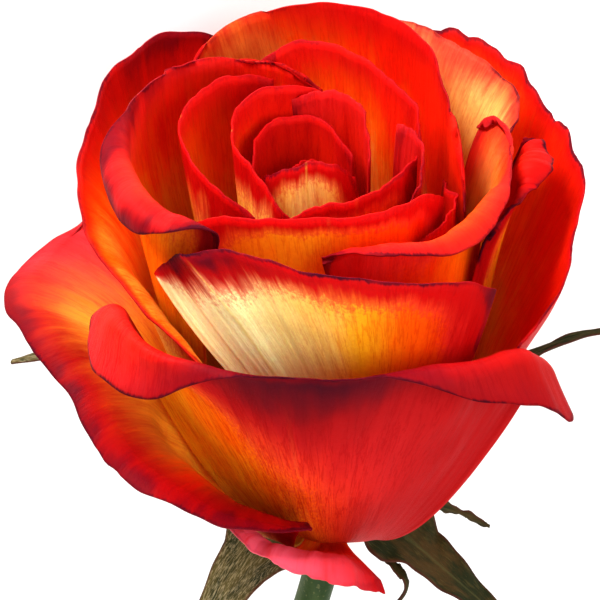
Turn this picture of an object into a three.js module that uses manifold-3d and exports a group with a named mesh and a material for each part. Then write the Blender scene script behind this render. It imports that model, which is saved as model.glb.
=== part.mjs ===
// A cut rose bloom with its sepals, hip and a short stem, lying on a surface.
// Every petal is a thin waved blade. Petals are made from the heart outward, and each one is
// pushed clear of those already made, so that they nest without touching.
// Bloom frame: +Z is the bloom's axis, azimuth 0 faces the front and grows to the right.
import * as THREE from "three";
import Module from "manifold-3d";

const wasm = await Module();
wasm.setup();
const rad = THREE.MathUtils.degToRad;

// Driving dimensions in millimetres
const PETAL_THICKNESS = 0.62;
const PETAL_SPACING = 1.3;
const SEPAL_THICKNESS = 0.8;
const HIP_RADIUS = 6.0;
const HIP_BOTTOM_Z = -15;
const HIP_FULL_SHARE = 0.8;
const STEM_RADIUS = 2.7;
const STEM_LENGTH = 82;
const STEM_GAP = 0.3;
const STEM_BEND = rad(6);
const STEM_BEND_RADIUS = 300;
const STEM_DRIFT_LEFT = 17;
const STEM_DRIFT_GROWTH = 1.1;
const STEM_CUT_SLANT = 0.9;

// How far the heart leans off the axis at its height
const HEART_OFFSET = { x: -3.5, y: 2.5, z: 57 };

// The rose lies on its two lowest back petals and the end of its stem: how far that raises the
// bloom's axis off the surface
const AXIS_RAISED = rad(12.88);

// The receptacle inside the bloom: its flank runs from the top to just under the rim
const RECEPTACLE = { radius: 7.2, rimZ: -3.0, height: 10.5, clearance: 0.75, fullness: 0.9 };
const FLANK_START = rad(8);
const FLANK_TURN = rad(97);

// Rays that measure how far out a petal lies: level above the hub, fanning down below it
const HUB_Z = 22;
const RAY_TOP_Z = 72;
const RAY_STEP = 1.5;
const RAY_COUNT = Math.round(RAY_TOP_Z / RAY_STEP) + 1;
const SECTOR_COUNT = 90;
const PATCH_SAMPLES = 4;
const PUSH_BLURS = 4;

// Facets
const PETAL_ROWS = 8;
const ROLL_ROWS = 4;
const WIDE_PETAL_COLUMNS = 13;
const SMALL_PETAL_COLUMNS = 9;
const LAST_SMALL_LAYER = 0.56;
const SEPAL_COLUMNS = 4;
const SEPAL_ROWS = 16;
const LEAFLET_COLUMNS = 2;
const LEAFLET_ROWS = 8;
const HIP_SIDES = 24;
const HIP_RINGS = 6;
const DOME_RINGS = 10;
const STEM_SIDES = 18;
const STEM_ROWS = 14;
const PRICKLE_SIDES = 8;

// Petals from the heart outward. Angles are in degrees.
// crest: stations of the rim from one margin to the other, each with its azimuth, radius, height,
//   the length of margin that rolls outward past it, and its own flare where that isn't the petal's
// layer: where the petal grows on the receptacle's flank, 0 at the top and 1 at the rim
// belly, rise: how far the petal swells out from its foot, as a share of the rim's radius, and
//   at what angle above the level
// flare, up: how far the rim leans out, and how much of the height keeps that lean
// root, claw, opening: azimuth and half width of the foot, and how late the petal widens
// rollRadius, rollTurn: the rolled margin's radius, and the angle at which it ends
// spacing: the distance kept from the petals inside it
const PETAL_DEFAULTS = {
  flare: 0, up: 0.45, claw: 34, opening: 0.9, rollRadius: 2.6, rollTurn: 180,
  spacing: PETAL_SPACING,
};
const PETALS = [
  { name: "petal_heart_1", layer: 0.0, belly: 0.5, rise: 70, claw: 60,
    crest: [[-60, 2.2, 49], [10, 2.2, 50], [80, 2.2, 50], [140, 2.3, 49]] },
  { name: "petal_heart_2", layer: 0.05, belly: 0.5, rise: 70, claw: 60,
    crest: [[100, 3.0, 50], [160, 3.4, 51.5], [215, 3.6, 52], [280, 3.4, 51]] },
  { name: "petal_heart_3", layer: 0.12, belly: 0.7, rise: 62, flare: -8, claw: 50,
    crest: [[-84, 6.4, 52], [-55, 6.2, 55.4], [-22, 5.2, 57.4], [12, 4.6, 58],
      [46, 5.2, 56.8], [76, 6.2, 53]] },
  { name: "petal_heart_4", layer: 0.2, belly: 0.7, rise: 60, claw: 50,
    crest: [[105, 5.8, 54], [150, 6.4, 56], [190, 7.6, 56.5], [240, 7.8, 56.5],
      [285, 7.8, 56], [318, 8.0, 54.5]] },
  { name: "petal_heart_5", layer: 0.27, belly: 0.7, rise: 58, flare: 4,
    crest: [[85, 8.0, 55], [112, 8.8, 58], [140, 9.0, 60], [168, 8.6, 60], [195, 8.6, 58]] },
  { name: "petal_inner_1", layer: 0.33, belly: 0.7, rise: 56, flare: 2,
    crest: [[150, 9.6, 57], [190, 9.8, 60], [235, 10.2, 60.5], [275, 10.2, 60.5],
      [310, 11.0, 60], [335, 12.2, 57.5], [350, 12.6, 54]] },
  { name: "petal_inner_2", layer: 0.4, belly: 0.65, rise: 54, flare: 4,
    crest: [[-28, 12.4, 53], [-8, 12.4, 56], [15, 12.8, 57.5], [40, 13.6, 58],
      [62, 14.2, 58], [82, 14.8, 57]] },
  { name: "petal_inner_3", spacing: 1.5, layer: 0.46, belly: 0.65, rise: 52, flare: 8, root: 62,
    crest: [[50, 14.6, 53], [62, 14.4, 56.5], [76, 14.0, 58.8], [90, 13.4, 59.6], [104, 12.8, 58.5]] },
  { name: "petal_inner_4", layer: 0.48, belly: 0.65, rise: 50, flare: 3,
    crest: [[-160, 14.4, 58], [-140, 15.0, 60.5], [-118, 16.6, 61], [-95, 17.0, 61],
      [-70, 17.2, 60.5], [-48, 16.8, 59], [-28, 15.8, 56]] },
  { name: "petal_inner_6", layer: 0.53, belly: 0.6, rise: 46, flare: 3,
    crest: [[-50, 20.4, 55], [-36, 20.6, 58.5], [-15, 19.6, 60], [8, 18.8, 60],
      [32, 19.6, 60], [52, 19.8, 58.5], [66, 19.8, 55]] },
  { name: "petal_cup_left", layer: 0.57, belly: 0.5, rise: 44, flare: -2, rollRadius: 2.4,
    crest: [[-188, 11.0, 57, 0], [-172, 12.4, 59, 0], [-158, 14.0, 60, 0], [-144, 17.4, 60.5, 0],
      [-130, 20.2, 61, 0], [-118, 22.2, 61.5, 0], [-103, 22.8, 61.5, 1], [-84, 24.0, 61.5, 3],
      [-65, 25.2, 61, 8], [-50, 26.4, 61, 9], [-38, 26.6, 60.5, 6], [-27, 26.0, 59.5, 2]] },
  { name: "petal_inner_5", layer: 0.6, belly: 0.6, rise: 48, flare: 6,
    crest: [[92, 15.0, 56], [108, 15.4, 59.5], [130, 15.6, 60.5], [155, 16.8, 61],
      [180, 18.4, 61], [203, 18.2, 59]] },
  { name: "petal_inner_7", layer: 0.63, belly: 0.6, rise: 44, flare: 6,
    crest: [[38, 20.6, 51], [50, 20.2, 53.5], [62, 19.4, 54.5], [75, 18.6, 54], [88, 17.8, 52]] },
  { name: "petal_cup_back", spacing: 1.6, layer: 0.67, belly: 0.5, rise: 42, rollRadius: 4,
    crest: [[64, 21.6, 54, 0], [80, 20.4, 58.5, 0], [98, 19.8, 60, 0], [116, 20.4, 60, 1],
      [136, 23.0, 60, 2], [156, 25.0, 60.5, 2], [176, 26.0, 61, 1], [194, 26.2, 61, 0],
      [209, 26.0, 59.5, 0], [219, 25.4, 56.5, 0], [225, 25.0, 51, 0]] },
  { name: "petal_cup_right", layer: 0.71, belly: 0.44, rise: 42, flare: 36, up: 0.3,
    rollRadius: 2.6, rollTurn: 125,
    crest: [[4, 21.0, 55, 1], [16, 21.8, 57, 3], [30, 22.6, 57, 4.5], [46, 24.2, 56.5, 5.5],
      [60, 25.2, 56.5, 4.5], [74, 26.6, 57, 2], [89, 27.4, 57.5, 0], [101, 26.2, 57.5, 0],
      [108, 24.4, 54.5, 0]] },
  { name: "petal_cup_back_right", layer: 0.74, belly: 0.46, rise: 40, flare: 45, up: 0.3,
    crest: [[100, 25.6, 53], [107, 29.4, 56], [115, 31.6, 56.5], [126, 30.6, 57.5],
      [140, 28.4, 58.5], [154, 27.2, 58.5], [168, 27.0, 56]] },
  { name: "petal_cup_front", layer: 0.77, belly: 0.46, rise: 40, flare: 0, root: 18, claw: 14,
    opening: 3,
    crest: [[-46, 28.6, 52], [-42, 28.4, 55], [-37, 28.3, 57.8], [-30, 28.3, 60.5],
      [-20, 28.4, 61.3], [-10, 29.0, 61.5], [6, 30.2, 60.2], [22, 31.6, 58.2],
      [36, 32.8, 56], [46, 34.0, 52]] },
  { name: "petal_outer_fold", spacing: 1.6, layer: 0.8, belly: 0.44, rise: 40, flare: 24,
    rollRadius: 3,
    crest: [[64, 25.0, 50.5, 1], [71, 26.2, 52.6, 3], [80, 27.2, 53.6, 5], [88, 27.8, 54, 6],
      [96, 28.0, 53.6, 5], [103, 28.0, 52, 2]] },
  { name: "petal_outer_left", layer: 0.83, belly: 0.38, rise: 42, flare: 13, up: 0.35,
    crest: [[-166, 33.0, 44], [-158, 35.6, 50.5], [-144, 37.4, 53.5], [-128, 35.4, 54.5],
      [-108, 31.6, 55, 0, 24], [-84, 31.0, 55, 0, 40], [-62, 31.8, 53.5, 0, 54],
      [-42, 32.8, 49, 0, 58], [-26, 33.4, 43.5, 0, 54]] },
  { name: "petal_outer_right", spacing: 1.5, layer: 0.86, belly: 0.26, rise: 48, flare: 20,
    opening: 1.3, root: 105,
    crest: [[42, 33.0, 39], [52, 35.0, 43.5], [68, 37.4, 48.5], [86, 37.8, 52.0],
      [105, 36.6, 53.5], [125, 36.8, 54], [146, 37.6, 53.5], [161, 37.0, 51], [169, 34.5, 45]] },
  { name: "petal_outer_back", layer: 0.88, belly: 0.42, rise: 38, flare: 14, rollRadius: 4,
    crest: [[136, 32.0, 32, 0], [143, 34.0, 39, 2], [156, 35.5, 43.5, 4], [172, 36.5, 45, 5],
      [190, 36.5, 45, 5], [206, 35.5, 43.5, 4], [219, 34.0, 39, 2], [226, 32.0, 32, 0]] },
  { name: "petal_low_front", spacing: 3.1, layer: 0.91, belly: 0.5, rise: 8, flare: 14,
    opening: 1.3, claw: 24, rollRadius: 2.3, rollTurn: 150,
    crest: [[-65, 30.2, 38, 3], [-58, 30.4, 42.4, 9], [-48, 31.0, 45, 12.5],
      [-34, 32.0, 45.4, 11], [-18, 33.4, 46, 4], [0, 34.0, 46.2, 1], [18, 34.6, 46, 4],
      [34, 35.2, 44.6, 9], [44, 35.2, 43, 12], [50, 35.2, 39.5, 13.5], [54, 35.2, 35.5, 9]] },
  { name: "petal_low_back_left", layer: 0.95, belly: 0.4, rise: 36, flare: 35, up: 0.35,
    rollRadius: 6,
    crest: [[186, 31.0, 20, 0], [192, 35.0, 27, 2], [203, 38.0, 32, 5], [215, 39.2, 34, 6],
      [228, 39.2, 33, 5], [240, 38.0, 28.5, 2], [247, 34.5, 21, 0]] },
  { name: "petal_low_back_right", layer: 0.95, belly: 0.4, rise: 36, flare: 35, up: 0.35,
    rollRadius: 6,
    crest: [[113, 34.5, 21, 0], [120, 38.0, 28.5, 2], [132, 39.2, 33, 5], [145, 39.2, 34, 6],
      [157, 38.0, 32, 5], [168, 35.0, 27, 2], [174, 31.0, 20, 0]] },
  { name: "petal_low_left", spacing: 1.7, layer: 0.98, belly: 0.6, rise: 36, flare: 68, up: 0.55,
    rollRadius: 5, root: -55,
    crest: [[-110, 32.6, 38.5, 0], [-101, 33.6, 38, 1], [-93, 36.8, 36.4, 4],
      [-86, 39.6, 34.2, 6], [-75, 36.8, 32, 5], [-61, 34.7, 29, 5], [-47, 35.4, 25, 5],
      [-33, 34.4, 21.5, 4], [-20, 32.8, 19, 3], [-4, 31.0, 16.5, 1]] },
  { name: "petal_low_tail", layer: 1.02, belly: 0.5, rise: 28, flare: 70, up: 0.3,
    rollRadius: 6, root: -4, claw: 16,
    crest: [[-36, 29.0, 12, 0], [-26, 30.5, 12.5, 1], [-14, 31.0, 12, 3], [0, 32.0, 10.5, 4],
      [12, 33.6, 8.5, 3]] },
];

// Sepals. Points are [outward, sideways, up] in the sepal's own axes, and azimuth turns them
// middle, tip: where it goes beyond its foot
// width: how much wider than its foot it grows; lobes: waves in its margin
// leaflets: thin side leaves, each a path from inside the sepal, with the axis it is wide along
const SEPALS = [
  { name: "sepal_front_left", azimuth: -53, width: 3.0, lobes: 0,
    middle: [22, 0, -15], tip: [30, 0, -34], leaflets: [] },
  { name: "sepal_front_right", azimuth: 56, width: 2.6, lobes: 0,
    middle: [20, 0, -13], tip: [36, 0, -20],
    leaflets: [
      { path: [[10, 4, -8.5], [12.5, 8, -8.7], [14.1, 11, -11.8], [20.1, 13, -14.6]],
        halfWidth: 1.5, axis: 2 },
      { path: [[10.5, -3, -8.5], [12.5, -4, -15], [19, -4.3, -10], [14.9, -4.5, -18.7]],
        halfWidth: 0.7, axis: 1 },
    ] },
  { name: "sepal_right", azimuth: 120, width: 1, lobes: 1,
    middle: [27, 0, 9], tip: [48, 0, 3.2], leaflets: [] },
  { name: "sepal_back", azimuth: 180, width: 1.4, lobes: 0,
    middle: [18, 0, -12], tip: [24, 0, -18], leaflets: [] },
  { name: "sepal_left", azimuth: -110, width: 1, lobes: 1,
    middle: [33, 0, 15], tip: [51.7, 0, 2.6], leaflets: [] },
];
const SEPAL_FOOT = { radius: 6.4, z: -7.7, halfWidth: 2.5, reach: 6, drop: 1 };
const SEPAL_SHAPE = {
  swell: 0.5, swellRate: 2.2, growRate: 3, taper: 0.8, tip: 0.35, lobe: 0.3, lobedPart: 0.7,
  cupping: 0.22,
};

// Prickles: distance down the stem from the hip, and angle round it, 90 degrees on top
const PRICKLE = {
  height: 3.4, lean: 1.6, footLength: 2.4, footWidth: 0.9, sunk: 0.8, taper: 1.3,
  rings: [0, 0.55, 0.94],
};
const PRICKLES = [
  { distance: 34, angle: rad(35) },
  { distance: 52, angle: rad(150) },
  { distance: 70, angle: rad(60) },
];

const petalMaterial = new THREE.MeshStandardMaterial({
  color: 0xd8401f, roughness: 0.55, metalness: 0 });
const sepalMaterial = new THREE.MeshStandardMaterial({
  color: 0x5d6130, roughness: 0.7, metalness: 0 });
const stemMaterial = new THREE.MeshStandardMaterial({
  color: 0x4f6b2f, roughness: 0.6, metalness: 0 });

// Smooth value at s, 0 to 1, through evenly spaced stations
function between(values, s) {
  const last = values.length - 1;
  const place = THREE.MathUtils.clamp(s, 0, 1) * last;
  const i = Math.min(Math.floor(place), last - 1);
  const t = place - i;
  const b = values[i];
  const c = values[i + 1];
  const a = i > 0 ? values[i - 1] : 2 * b - c;
  const d = i + 2 <= last ? values[i + 2] : 2 * c - b;
  const slopeB = (c - a) / 2;
  const slopeC = (d - b) / 2;
  const t2 = t * t;
  const t3 = t2 * t;
  return (2 * t3 - 3 * t2 + 1) * b + (t3 - 2 * t2 + t) * slopeB
    + (3 * t2 - 2 * t3) * c + (t3 - t2) * slopeC;
}

function bezier(points, t) {
  const m = 1 - t;
  const weights = [m ** 3, 3 * m * m * t, 3 * m * t * t, t ** 3];
  return points[0].map((_, axis) => points.reduce((sum, p, i) => sum + weights[i] * p[axis], 0));
}

// Radius and height of a point on the receptacle's flank, or a clearance out from it
function flank(t, out = 0) {
  const angle = FLANK_START + FLANK_TURN * t;
  return [
    (RECEPTACLE.radius + out) * Math.sin(angle) ** RECEPTACLE.fullness,
    RECEPTACLE.rimZ + (RECEPTACLE.height + out) * Math.cos(angle),
  ];
}

// Which ray a point in the bloom's half-plane is on, and how far out along it
function toRay(r, z) {
  if (z >= HUB_Z) {
    return { ray: z, out: r };
  }
  const fall = Math.atan2(HUB_Z - z, r);
  return { ray: HUB_Z * (1 - fall / (Math.PI / 2)), out: Math.hypot(r, HUB_Z - z) };
}

function fromRay(ray, out) {
  if (ray >= HUB_Z) {
    return [out, ray];
  }
  const fall = (1 - ray / HUB_Z) * Math.PI / 2;
  return [out * Math.cos(fall), HUB_Z - out * Math.sin(fall)];
}

// The outermost reach of everything made so far, by azimuth sector and ray
class Reach {
  constructor() {
    this.cells = Array.from({ length: SECTOR_COUNT }, () => new Float64Array(RAY_COUNT));
  }

  sector(azimuth) {
    const turns = azimuth / (2 * Math.PI);
    return (turns - Math.floor(turns)) * SECTOR_COUNT;
  }

  at(azimuth, ray) {
    const i = Math.floor(this.sector(azimuth));
    const j = Math.floor(ray / RAY_STEP);
    let best = 0;
    for (const di of [0, 1]) {
      for (const dj of [0, 1]) {
        best = Math.max(best, this.cells[(i + di) % SECTOR_COUNT][j + dj] ?? 0);
      }
    }
    return best;
  }

  // Fills the cells under every patch of a grid
  add(grid) {
    for (let i = 0; i + 1 < grid.length; i++) {
      for (let j = 0; j + 1 < grid[0].length; j++) {
        this.addPatch([grid[i][j], grid[i + 1][j], grid[i][j + 1], grid[i + 1][j + 1]]);
      }
    }
  }

  addPatch([a, b, c, d]) {
    for (let s = 0; s <= PATCH_SAMPLES; s++) {
      for (let t = 0; t <= PATCH_SAMPLES; t++) {
        const u = s / PATCH_SAMPLES;
        const v = t / PATCH_SAMPLES;
        const mix = (key) => (1 - v) * ((1 - u) * a[key] + u * b[key])
          + v * ((1 - u) * c[key] + u * d[key]);
        const i = Math.round(this.sector(mix("azimuth"))) % SECTOR_COUNT;
        const j = Math.round(mix("ray") / RAY_STEP);
        if (j >= 0 && j < RAY_COUNT) {
          this.cells[i][j] = Math.max(this.cells[i][j], mix("out"));
        }
      }
    }
  }
}

// The petal's rim at u, 0 to 1 across it
function rimAt(petal, u) {
  const column = (k, missing) => between(petal.crest.map((station) => station[k] ?? missing), u);
  return {
    azimuth: rad(column(0)),
    r: column(1),
    z: column(2),
    roll: Math.max(0, column(3, 0)),
    flare: rad(column(4, petal.flare)),
  };
}

// A point past the rim: the margin turns outward on an arc, then hangs straight
function rolledPoint(rim, length, petal) {
  const flare = rim.flare;
  const bend = petal.rollRadius;
  const turn = Math.min(flare + length / bend, rad(petal.rollTurn));
  const straight = length - (turn - flare) * bend;
  return [
    rim.r + bend * (Math.cos(flare) - Math.cos(turn)) + straight * Math.sin(turn),
    rim.z + bend * (Math.sin(turn) - Math.sin(flare)) + straight * Math.cos(turn),
  ];
}

// The curve in the bloom's half-plane from the petal's foot up to its rim
function meridian(petal, rim) {
  const rise = rad(petal.rise);
  const [footR, footZ] = flank(petal.layer, RECEPTACLE.clearance);
  const swell = petal.belly * rim.r;
  const pull = petal.up * (rim.z - footZ);
  return [
    [footR, footZ],
    [footR + swell * Math.cos(rise), footZ + swell * Math.sin(rise)],
    [rim.r - pull * Math.sin(rim.flare), rim.z - pull * Math.cos(rim.flare)],
    [rim.r, rim.z],
  ];
}

// A petal's middle surface as columns of points, each from the foot up to the rim and on
// round the rolled margin
function petalGrid(petal, columns, rollRows) {
  const first = rimAt(petal, 0).azimuth;
  const last = rimAt(petal, 1).azimuth;
  const middle = petal.root === undefined ? (first + last) / 2 : rad(petal.root);
  const clawShare = Math.min(1, rad(petal.claw) / ((last - first) / 2));
  const grid = [];
  for (let i = 0; i <= columns; i++) {
    const rim = rimAt(petal, i / columns);
    const curve = meridian(petal, rim);
    const column = [];
    for (let j = 0; j <= PETAL_ROWS; j++) {
      const v = j / PETAL_ROWS;
      const [r, z] = bezier(curve, v);
      const spread = clawShare + (1 - clawShare) * v ** petal.opening;
      column.push({ azimuth: middle + (rim.azimuth - middle) * spread, ...toRay(r, z) });
    }
    for (let j = 1; j <= rollRows; j++) {
      const [r, z] = rolledPoint(rim, (rim.roll * j) / rollRows, petal);
      column.push({ azimuth: rim.azimuth, ...toRay(r, z) });
    }
    grid.push(column);
  }
  return grid;
}

function neighbourMean(field, i, j) {
  let sum = 0;
  let count = 0;
  for (let a = Math.max(0, i - 1); a <= Math.min(field.length - 1, i + 1); a++) {
    for (let b = Math.max(0, j - 1); b <= Math.min(field[0].length - 1, j + 1); b++) {
      sum += field[a][b];
      count += 1;
    }
  }
  return sum / count;
}

// Moves a petal out along its rays, smoothly, until it clears what is inside it
function pushOut(grid, reach, spacing) {
  const needed = grid.map((column) => column.map((point) => {
    const inner = reach.at(point.azimuth, point.ray);
    return inner > 0 ? Math.max(0, inner + spacing - point.out) : 0;
  }));
  let field = needed;
  for (let k = 0; k < PUSH_BLURS; k++) {
    const previous = field;
    field = needed.map((column, i) => column.map(
      (need, j) => Math.max(need, neighbourMean(previous, i, j))));
  }
  grid.forEach((column, i) => column.forEach((point, j) => {
    point.out += j === 0 ? 0 : field[i][j];
  }));
}

// From the bloom's rays to x, y, z, with the heart leaning off the axis
function toSpace({ azimuth, ray, out }) {
  const [r, z] = fromRay(ray, out);
  const lean = z / HEART_OFFSET.z;
  return new THREE.Vector3(
    r * Math.sin(azimuth) + lean * HEART_OFFSET.x,
    -r * Math.cos(azimuth) + lean * HEART_OFFSET.y,
    z,
  );
}

function gridNormal(grid, i, j) {
  const across = grid[Math.min(i + 1, grid.length - 1)][j].clone()
    .sub(grid[Math.max(i - 1, 0)][j]);
  const along = grid[i][Math.min(j + 1, grid[0].length - 1)].clone()
    .sub(grid[i][Math.max(j - 1, 0)]);
  return across.cross(along).normalize();
}

// The places of a grid's border, in order round it
function borderOf(columns, rows) {
  const border = [];
  for (let i = 0; i < columns; i++) {
    border.push([i, 0]);
  }
  for (let j = 1; j < rows; j++) {
    border.push([columns - 1, j]);
  }
  for (let i = columns - 2; i >= 0; i--) {
    border.push([i, rows - 1]);
  }
  for (let j = rows - 2; j > 0; j--) {
    border.push([0, j]);
  }
  return border;
}

function indexedGeometry(positions, index) {
  const geometry = new THREE.BufferGeometry();
  geometry.setAttribute("position", new THREE.Float32BufferAttribute(positions, 3));
  geometry.setIndex(index);
  geometry.computeVertexNormals();
  return geometry;
}

// A closed blade: the grid's surface moved half the thickness each way and joined round the edge
function blade(grid, thickness) {
  const columns = grid.length;
  const rows = grid[0].length;
  const positions = [];
  for (const side of [0.5, -0.5]) {
    for (let i = 0; i < columns; i++) {
      for (let j = 0; j < rows; j++) {
        const shift = gridNormal(grid, i, j).multiplyScalar(side * thickness);
        positions.push(...grid[i][j].clone().add(shift).toArray());
      }
    }
  }
  const outer = ([i, j]) => i * rows + j;
  const inner = (place) => columns * rows + outer(place);
  const index = [];
  for (let i = 0; i + 1 < columns; i++) {
    for (let j = 0; j + 1 < rows; j++) {
      const [a, b, c, d] = [[i, j], [i + 1, j], [i + 1, j + 1], [i, j + 1]];
      index.push(outer(a), outer(b), outer(c), outer(a), outer(c), outer(d));
      index.push(inner(a), inner(c), inner(b), inner(a), inner(d), inner(c));
    }
  }
  const border = borderOf(columns, rows);
  border.forEach((a, k) => {
    const b = border[(k + 1) % border.length];
    index.push(outer(a), inner(a), inner(b), outer(a), inner(b), outer(b));
  });
  return indexedGeometry(positions, index);
}

// Joins closed geometries into one
function fuse(geometries) {
  if (geometries.length === 1) {
    return geometries[0];
  }
  const solids = geometries.map((geometry) => new wasm.Manifold(new wasm.Mesh({
    numProp: 3,
    vertProperties: geometry.getAttribute("position").array,
    triVerts: Uint32Array.from(geometry.getIndex().array),
  })));
  const { vertProperties, triVerts } = wasm.Manifold.union(solids).getMesh();
  return indexedGeometry([...vertProperties], [...triVerts]);
}

function namedMesh(name, geometry, material) {
  const mesh = new THREE.Mesh(geometry, material);
  mesh.name = name;
  return mesh;
}

function makePetals() {
  const reach = new Reach();
  return PETALS.map((row) => {
    const petal = { ...PETAL_DEFAULTS, ...row };
    const rolls = petal.crest.some((station) => station[3] > 0);
    const columns = petal.layer > LAST_SMALL_LAYER ? WIDE_PETAL_COLUMNS : SMALL_PETAL_COLUMNS;
    const grid = petalGrid(petal, columns, rolls ? ROLL_ROWS : 0);
    pushOut(grid, reach, petal.spacing);
    reach.add(grid);
    const surface = grid.map((column) => column.map(toSpace));
    return namedMesh(petal.name, blade(surface, PETAL_THICKNESS), petalMaterial);
  });
}

// Half the sepal's width along it: a broad foot, small side lobes and a long tip
function sepalHalfWidth(t, sepal) {
  const shape = SEPAL_SHAPE;
  const swell = 1 + shape.swell * Math.sin(Math.PI * Math.min(1, t * shape.swellRate));
  const growth = 1 + (sepal.width - 1) * Math.min(1, t * shape.growRate);
  const taper = SEPAL_FOOT.halfWidth * swell * growth * (1 - t) ** shape.taper + shape.tip;
  const swing = Math.sin((sepal.lobes * 2 * Math.PI * t) / shape.lobedPart);
  const lobe = t < shape.lobedPart ? shape.lobe * Math.max(0, swing) : 0;
  return taper * (1 + lobe);
}

// A leaf's middle surface along a path, widened along one of the sepal's axes
function leafGrid(sepal, path, halfWidthAt, axis, columns, rows) {
  const azimuth = rad(sepal.azimuth);
  const outward = new THREE.Vector3(Math.sin(azimuth), -Math.cos(azimuth), 0);
  const sideways = new THREE.Vector3(Math.cos(azimuth), Math.sin(azimuth), 0);
  const grid = [];
  for (let i = 0; i <= columns; i++) {
    const across = (2 * i) / columns - 1;
    const column = [];
    for (let j = 0; j <= rows; j++) {
      const t = j / rows;
      const half = halfWidthAt(t);
      const point = bezier(path, t);
      point[axis] += across * half;
      column.push(outward.clone().multiplyScalar(point[0])
        .addScaledVector(sideways, point[1])
        .setZ(point[2] + SEPAL_SHAPE.cupping * half * across * across));
    }
    grid.push(column);
  }
  return grid;
}

function makeSepal(sepal) {
  const path = [
    [SEPAL_FOOT.radius, 0, SEPAL_FOOT.z],
    [SEPAL_FOOT.radius + SEPAL_FOOT.reach, 0, SEPAL_FOOT.z - SEPAL_FOOT.drop],
    sepal.middle,
    sepal.tip,
  ];
  const leaf = leafGrid(sepal, path, (t) => sepalHalfWidth(t, sepal), 1, SEPAL_COLUMNS, SEPAL_ROWS);
  const leaflets = sepal.leaflets.map((leaflet) => leafGrid(
    sepal, leaflet.path, (t) => SEPAL_SHAPE.tip + leaflet.halfWidth * (1 - t), leaflet.axis,
    LEAFLET_COLUMNS, LEAFLET_ROWS));
  const geometry = fuse([leaf, ...leaflets].map((grid) => blade(grid, SEPAL_THICKNESS)));
  return namedMesh(sepal.name, geometry, sepalMaterial);
}

// The receptacle's dome inside the bloom, running down into the hip
function makeHip() {
  const profile = [
    new THREE.Vector2(0, HIP_BOTTOM_Z),
    new THREE.Vector2(STEM_RADIUS, HIP_BOTTOM_Z),
  ];
  const waistZ = flank(1)[1];
  for (let k = 1; k < HIP_RINGS; k++) {
    const t = k / HIP_RINGS;
    const bulge = Math.sin(Math.PI * t * HIP_FULL_SHARE);
    const z = THREE.MathUtils.lerp(HIP_BOTTOM_Z, waistZ, t);
    profile.push(new THREE.Vector2(STEM_RADIUS + (HIP_RADIUS - STEM_RADIUS) * bulge, z));
  }
  for (let k = DOME_RINGS; k >= 0; k--) {
    profile.push(new THREE.Vector2(...flank(k / DOME_RINGS)));
  }
  profile.push(new THREE.Vector2(0, flank(0)[1]));
  const geometry = new THREE.LatheGeometry(profile, HIP_SIDES);
  geometry.rotateX(Math.PI / 2);
  return namedMesh("hip_and_receptacle", geometry, stemMaterial);
}

// The stem's centre line: it leaves the hip along the axis, bends slightly to the back and
// drifts to the left
function stemPoint(distance) {
  const turned = Math.min(STEM_BEND, distance / STEM_BEND_RADIUS);
  const straight = Math.max(0, distance - STEM_BEND * STEM_BEND_RADIUS);
  const back = STEM_BEND_RADIUS * (1 - Math.cos(turned)) + straight * Math.sin(turned);
  const down = STEM_BEND_RADIUS * Math.sin(turned) + straight * Math.cos(turned);
  const left = STEM_DRIFT_LEFT * (distance / STEM_LENGTH) ** STEM_DRIFT_GROWTH;
  return {
    centre: new THREE.Vector3(-left, back, HIP_BOTTOM_Z - STEM_GAP - down),
    up: new THREE.Vector3(0, Math.cos(turned), Math.sin(turned)),
    along: new THREE.Vector3(0, Math.sin(turned), -Math.cos(turned)),
  };
}

// A closed geometry through rings of points, each clockwise as seen from the ring after it
function solidThrough(rings) {
  const sides = rings[0].length;
  const last = (rings.length - 1) * sides;
  const index = [];
  for (let start = 0; start < last; start += sides) {
    for (let i = 0; i < sides; i++) {
      const a = start + i;
      const b = start + ((i + 1) % sides);
      index.push(a, b, a + sides, b, b + sides, a + sides);
    }
  }
  for (let i = 1; i + 1 < sides; i++) {
    index.push(0, i + 1, i);
    index.push(last, last + i, last + i + 1);
  }
  return indexedGeometry(rings.flat().flatMap((point) => point.toArray()), index);
}

function ring(sides, pointAt) {
  return Array.from({ length: sides }, (_, i) => pointAt((2 * Math.PI * i) / sides));
}

// The bare stem, cut off at a slant
function stemTube() {
  const rings = [];
  for (let k = 0; k <= STEM_ROWS; k++) {
    const { centre, up, along } = stemPoint((STEM_LENGTH * k) / STEM_ROWS);
    rings.push(ring(STEM_SIDES, (angle) => {
      const lift = -STEM_RADIUS * Math.sin(angle);
      return centre.clone()
        .add(new THREE.Vector3(STEM_RADIUS * Math.cos(angle), 0, 0))
        .addScaledVector(up, lift)
        .addScaledVector(along, k === STEM_ROWS ? STEM_CUT_SLANT * lift : 0);
    }));
  }
  return solidThrough(rings);
}

// A prickle: a cone from inside the stem, leaning down it
function prickleCone(prickle) {
  const { centre, up, along } = stemPoint(prickle.distance);
  const outward = new THREE.Vector3(Math.cos(prickle.angle), 0, 0)
    .addScaledVector(up, Math.sin(prickle.angle));
  const sideways = outward.clone().cross(along);
  const foot = centre.clone().addScaledVector(outward, STEM_RADIUS - PRICKLE.sunk);
  const tip = centre.clone().addScaledVector(outward, STEM_RADIUS + PRICKLE.height)
    .addScaledVector(along, PRICKLE.lean);
  return solidThrough(PRICKLE.rings.map((share) => ring(PRICKLE_SIDES, (angle) => {
    const size = (1 - share) ** PRICKLE.taper;
    return foot.clone().lerp(tip, share)
      .addScaledVector(along, PRICKLE.footLength * size * Math.cos(angle))
      .addScaledVector(sideways, PRICKLE.footWidth * size * Math.sin(angle));
  })));
}

function makeStem() {
  return namedMesh("stem", fuse([stemTube(), ...PRICKLES.map(prickleCone)]), stemMaterial);
}

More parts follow.
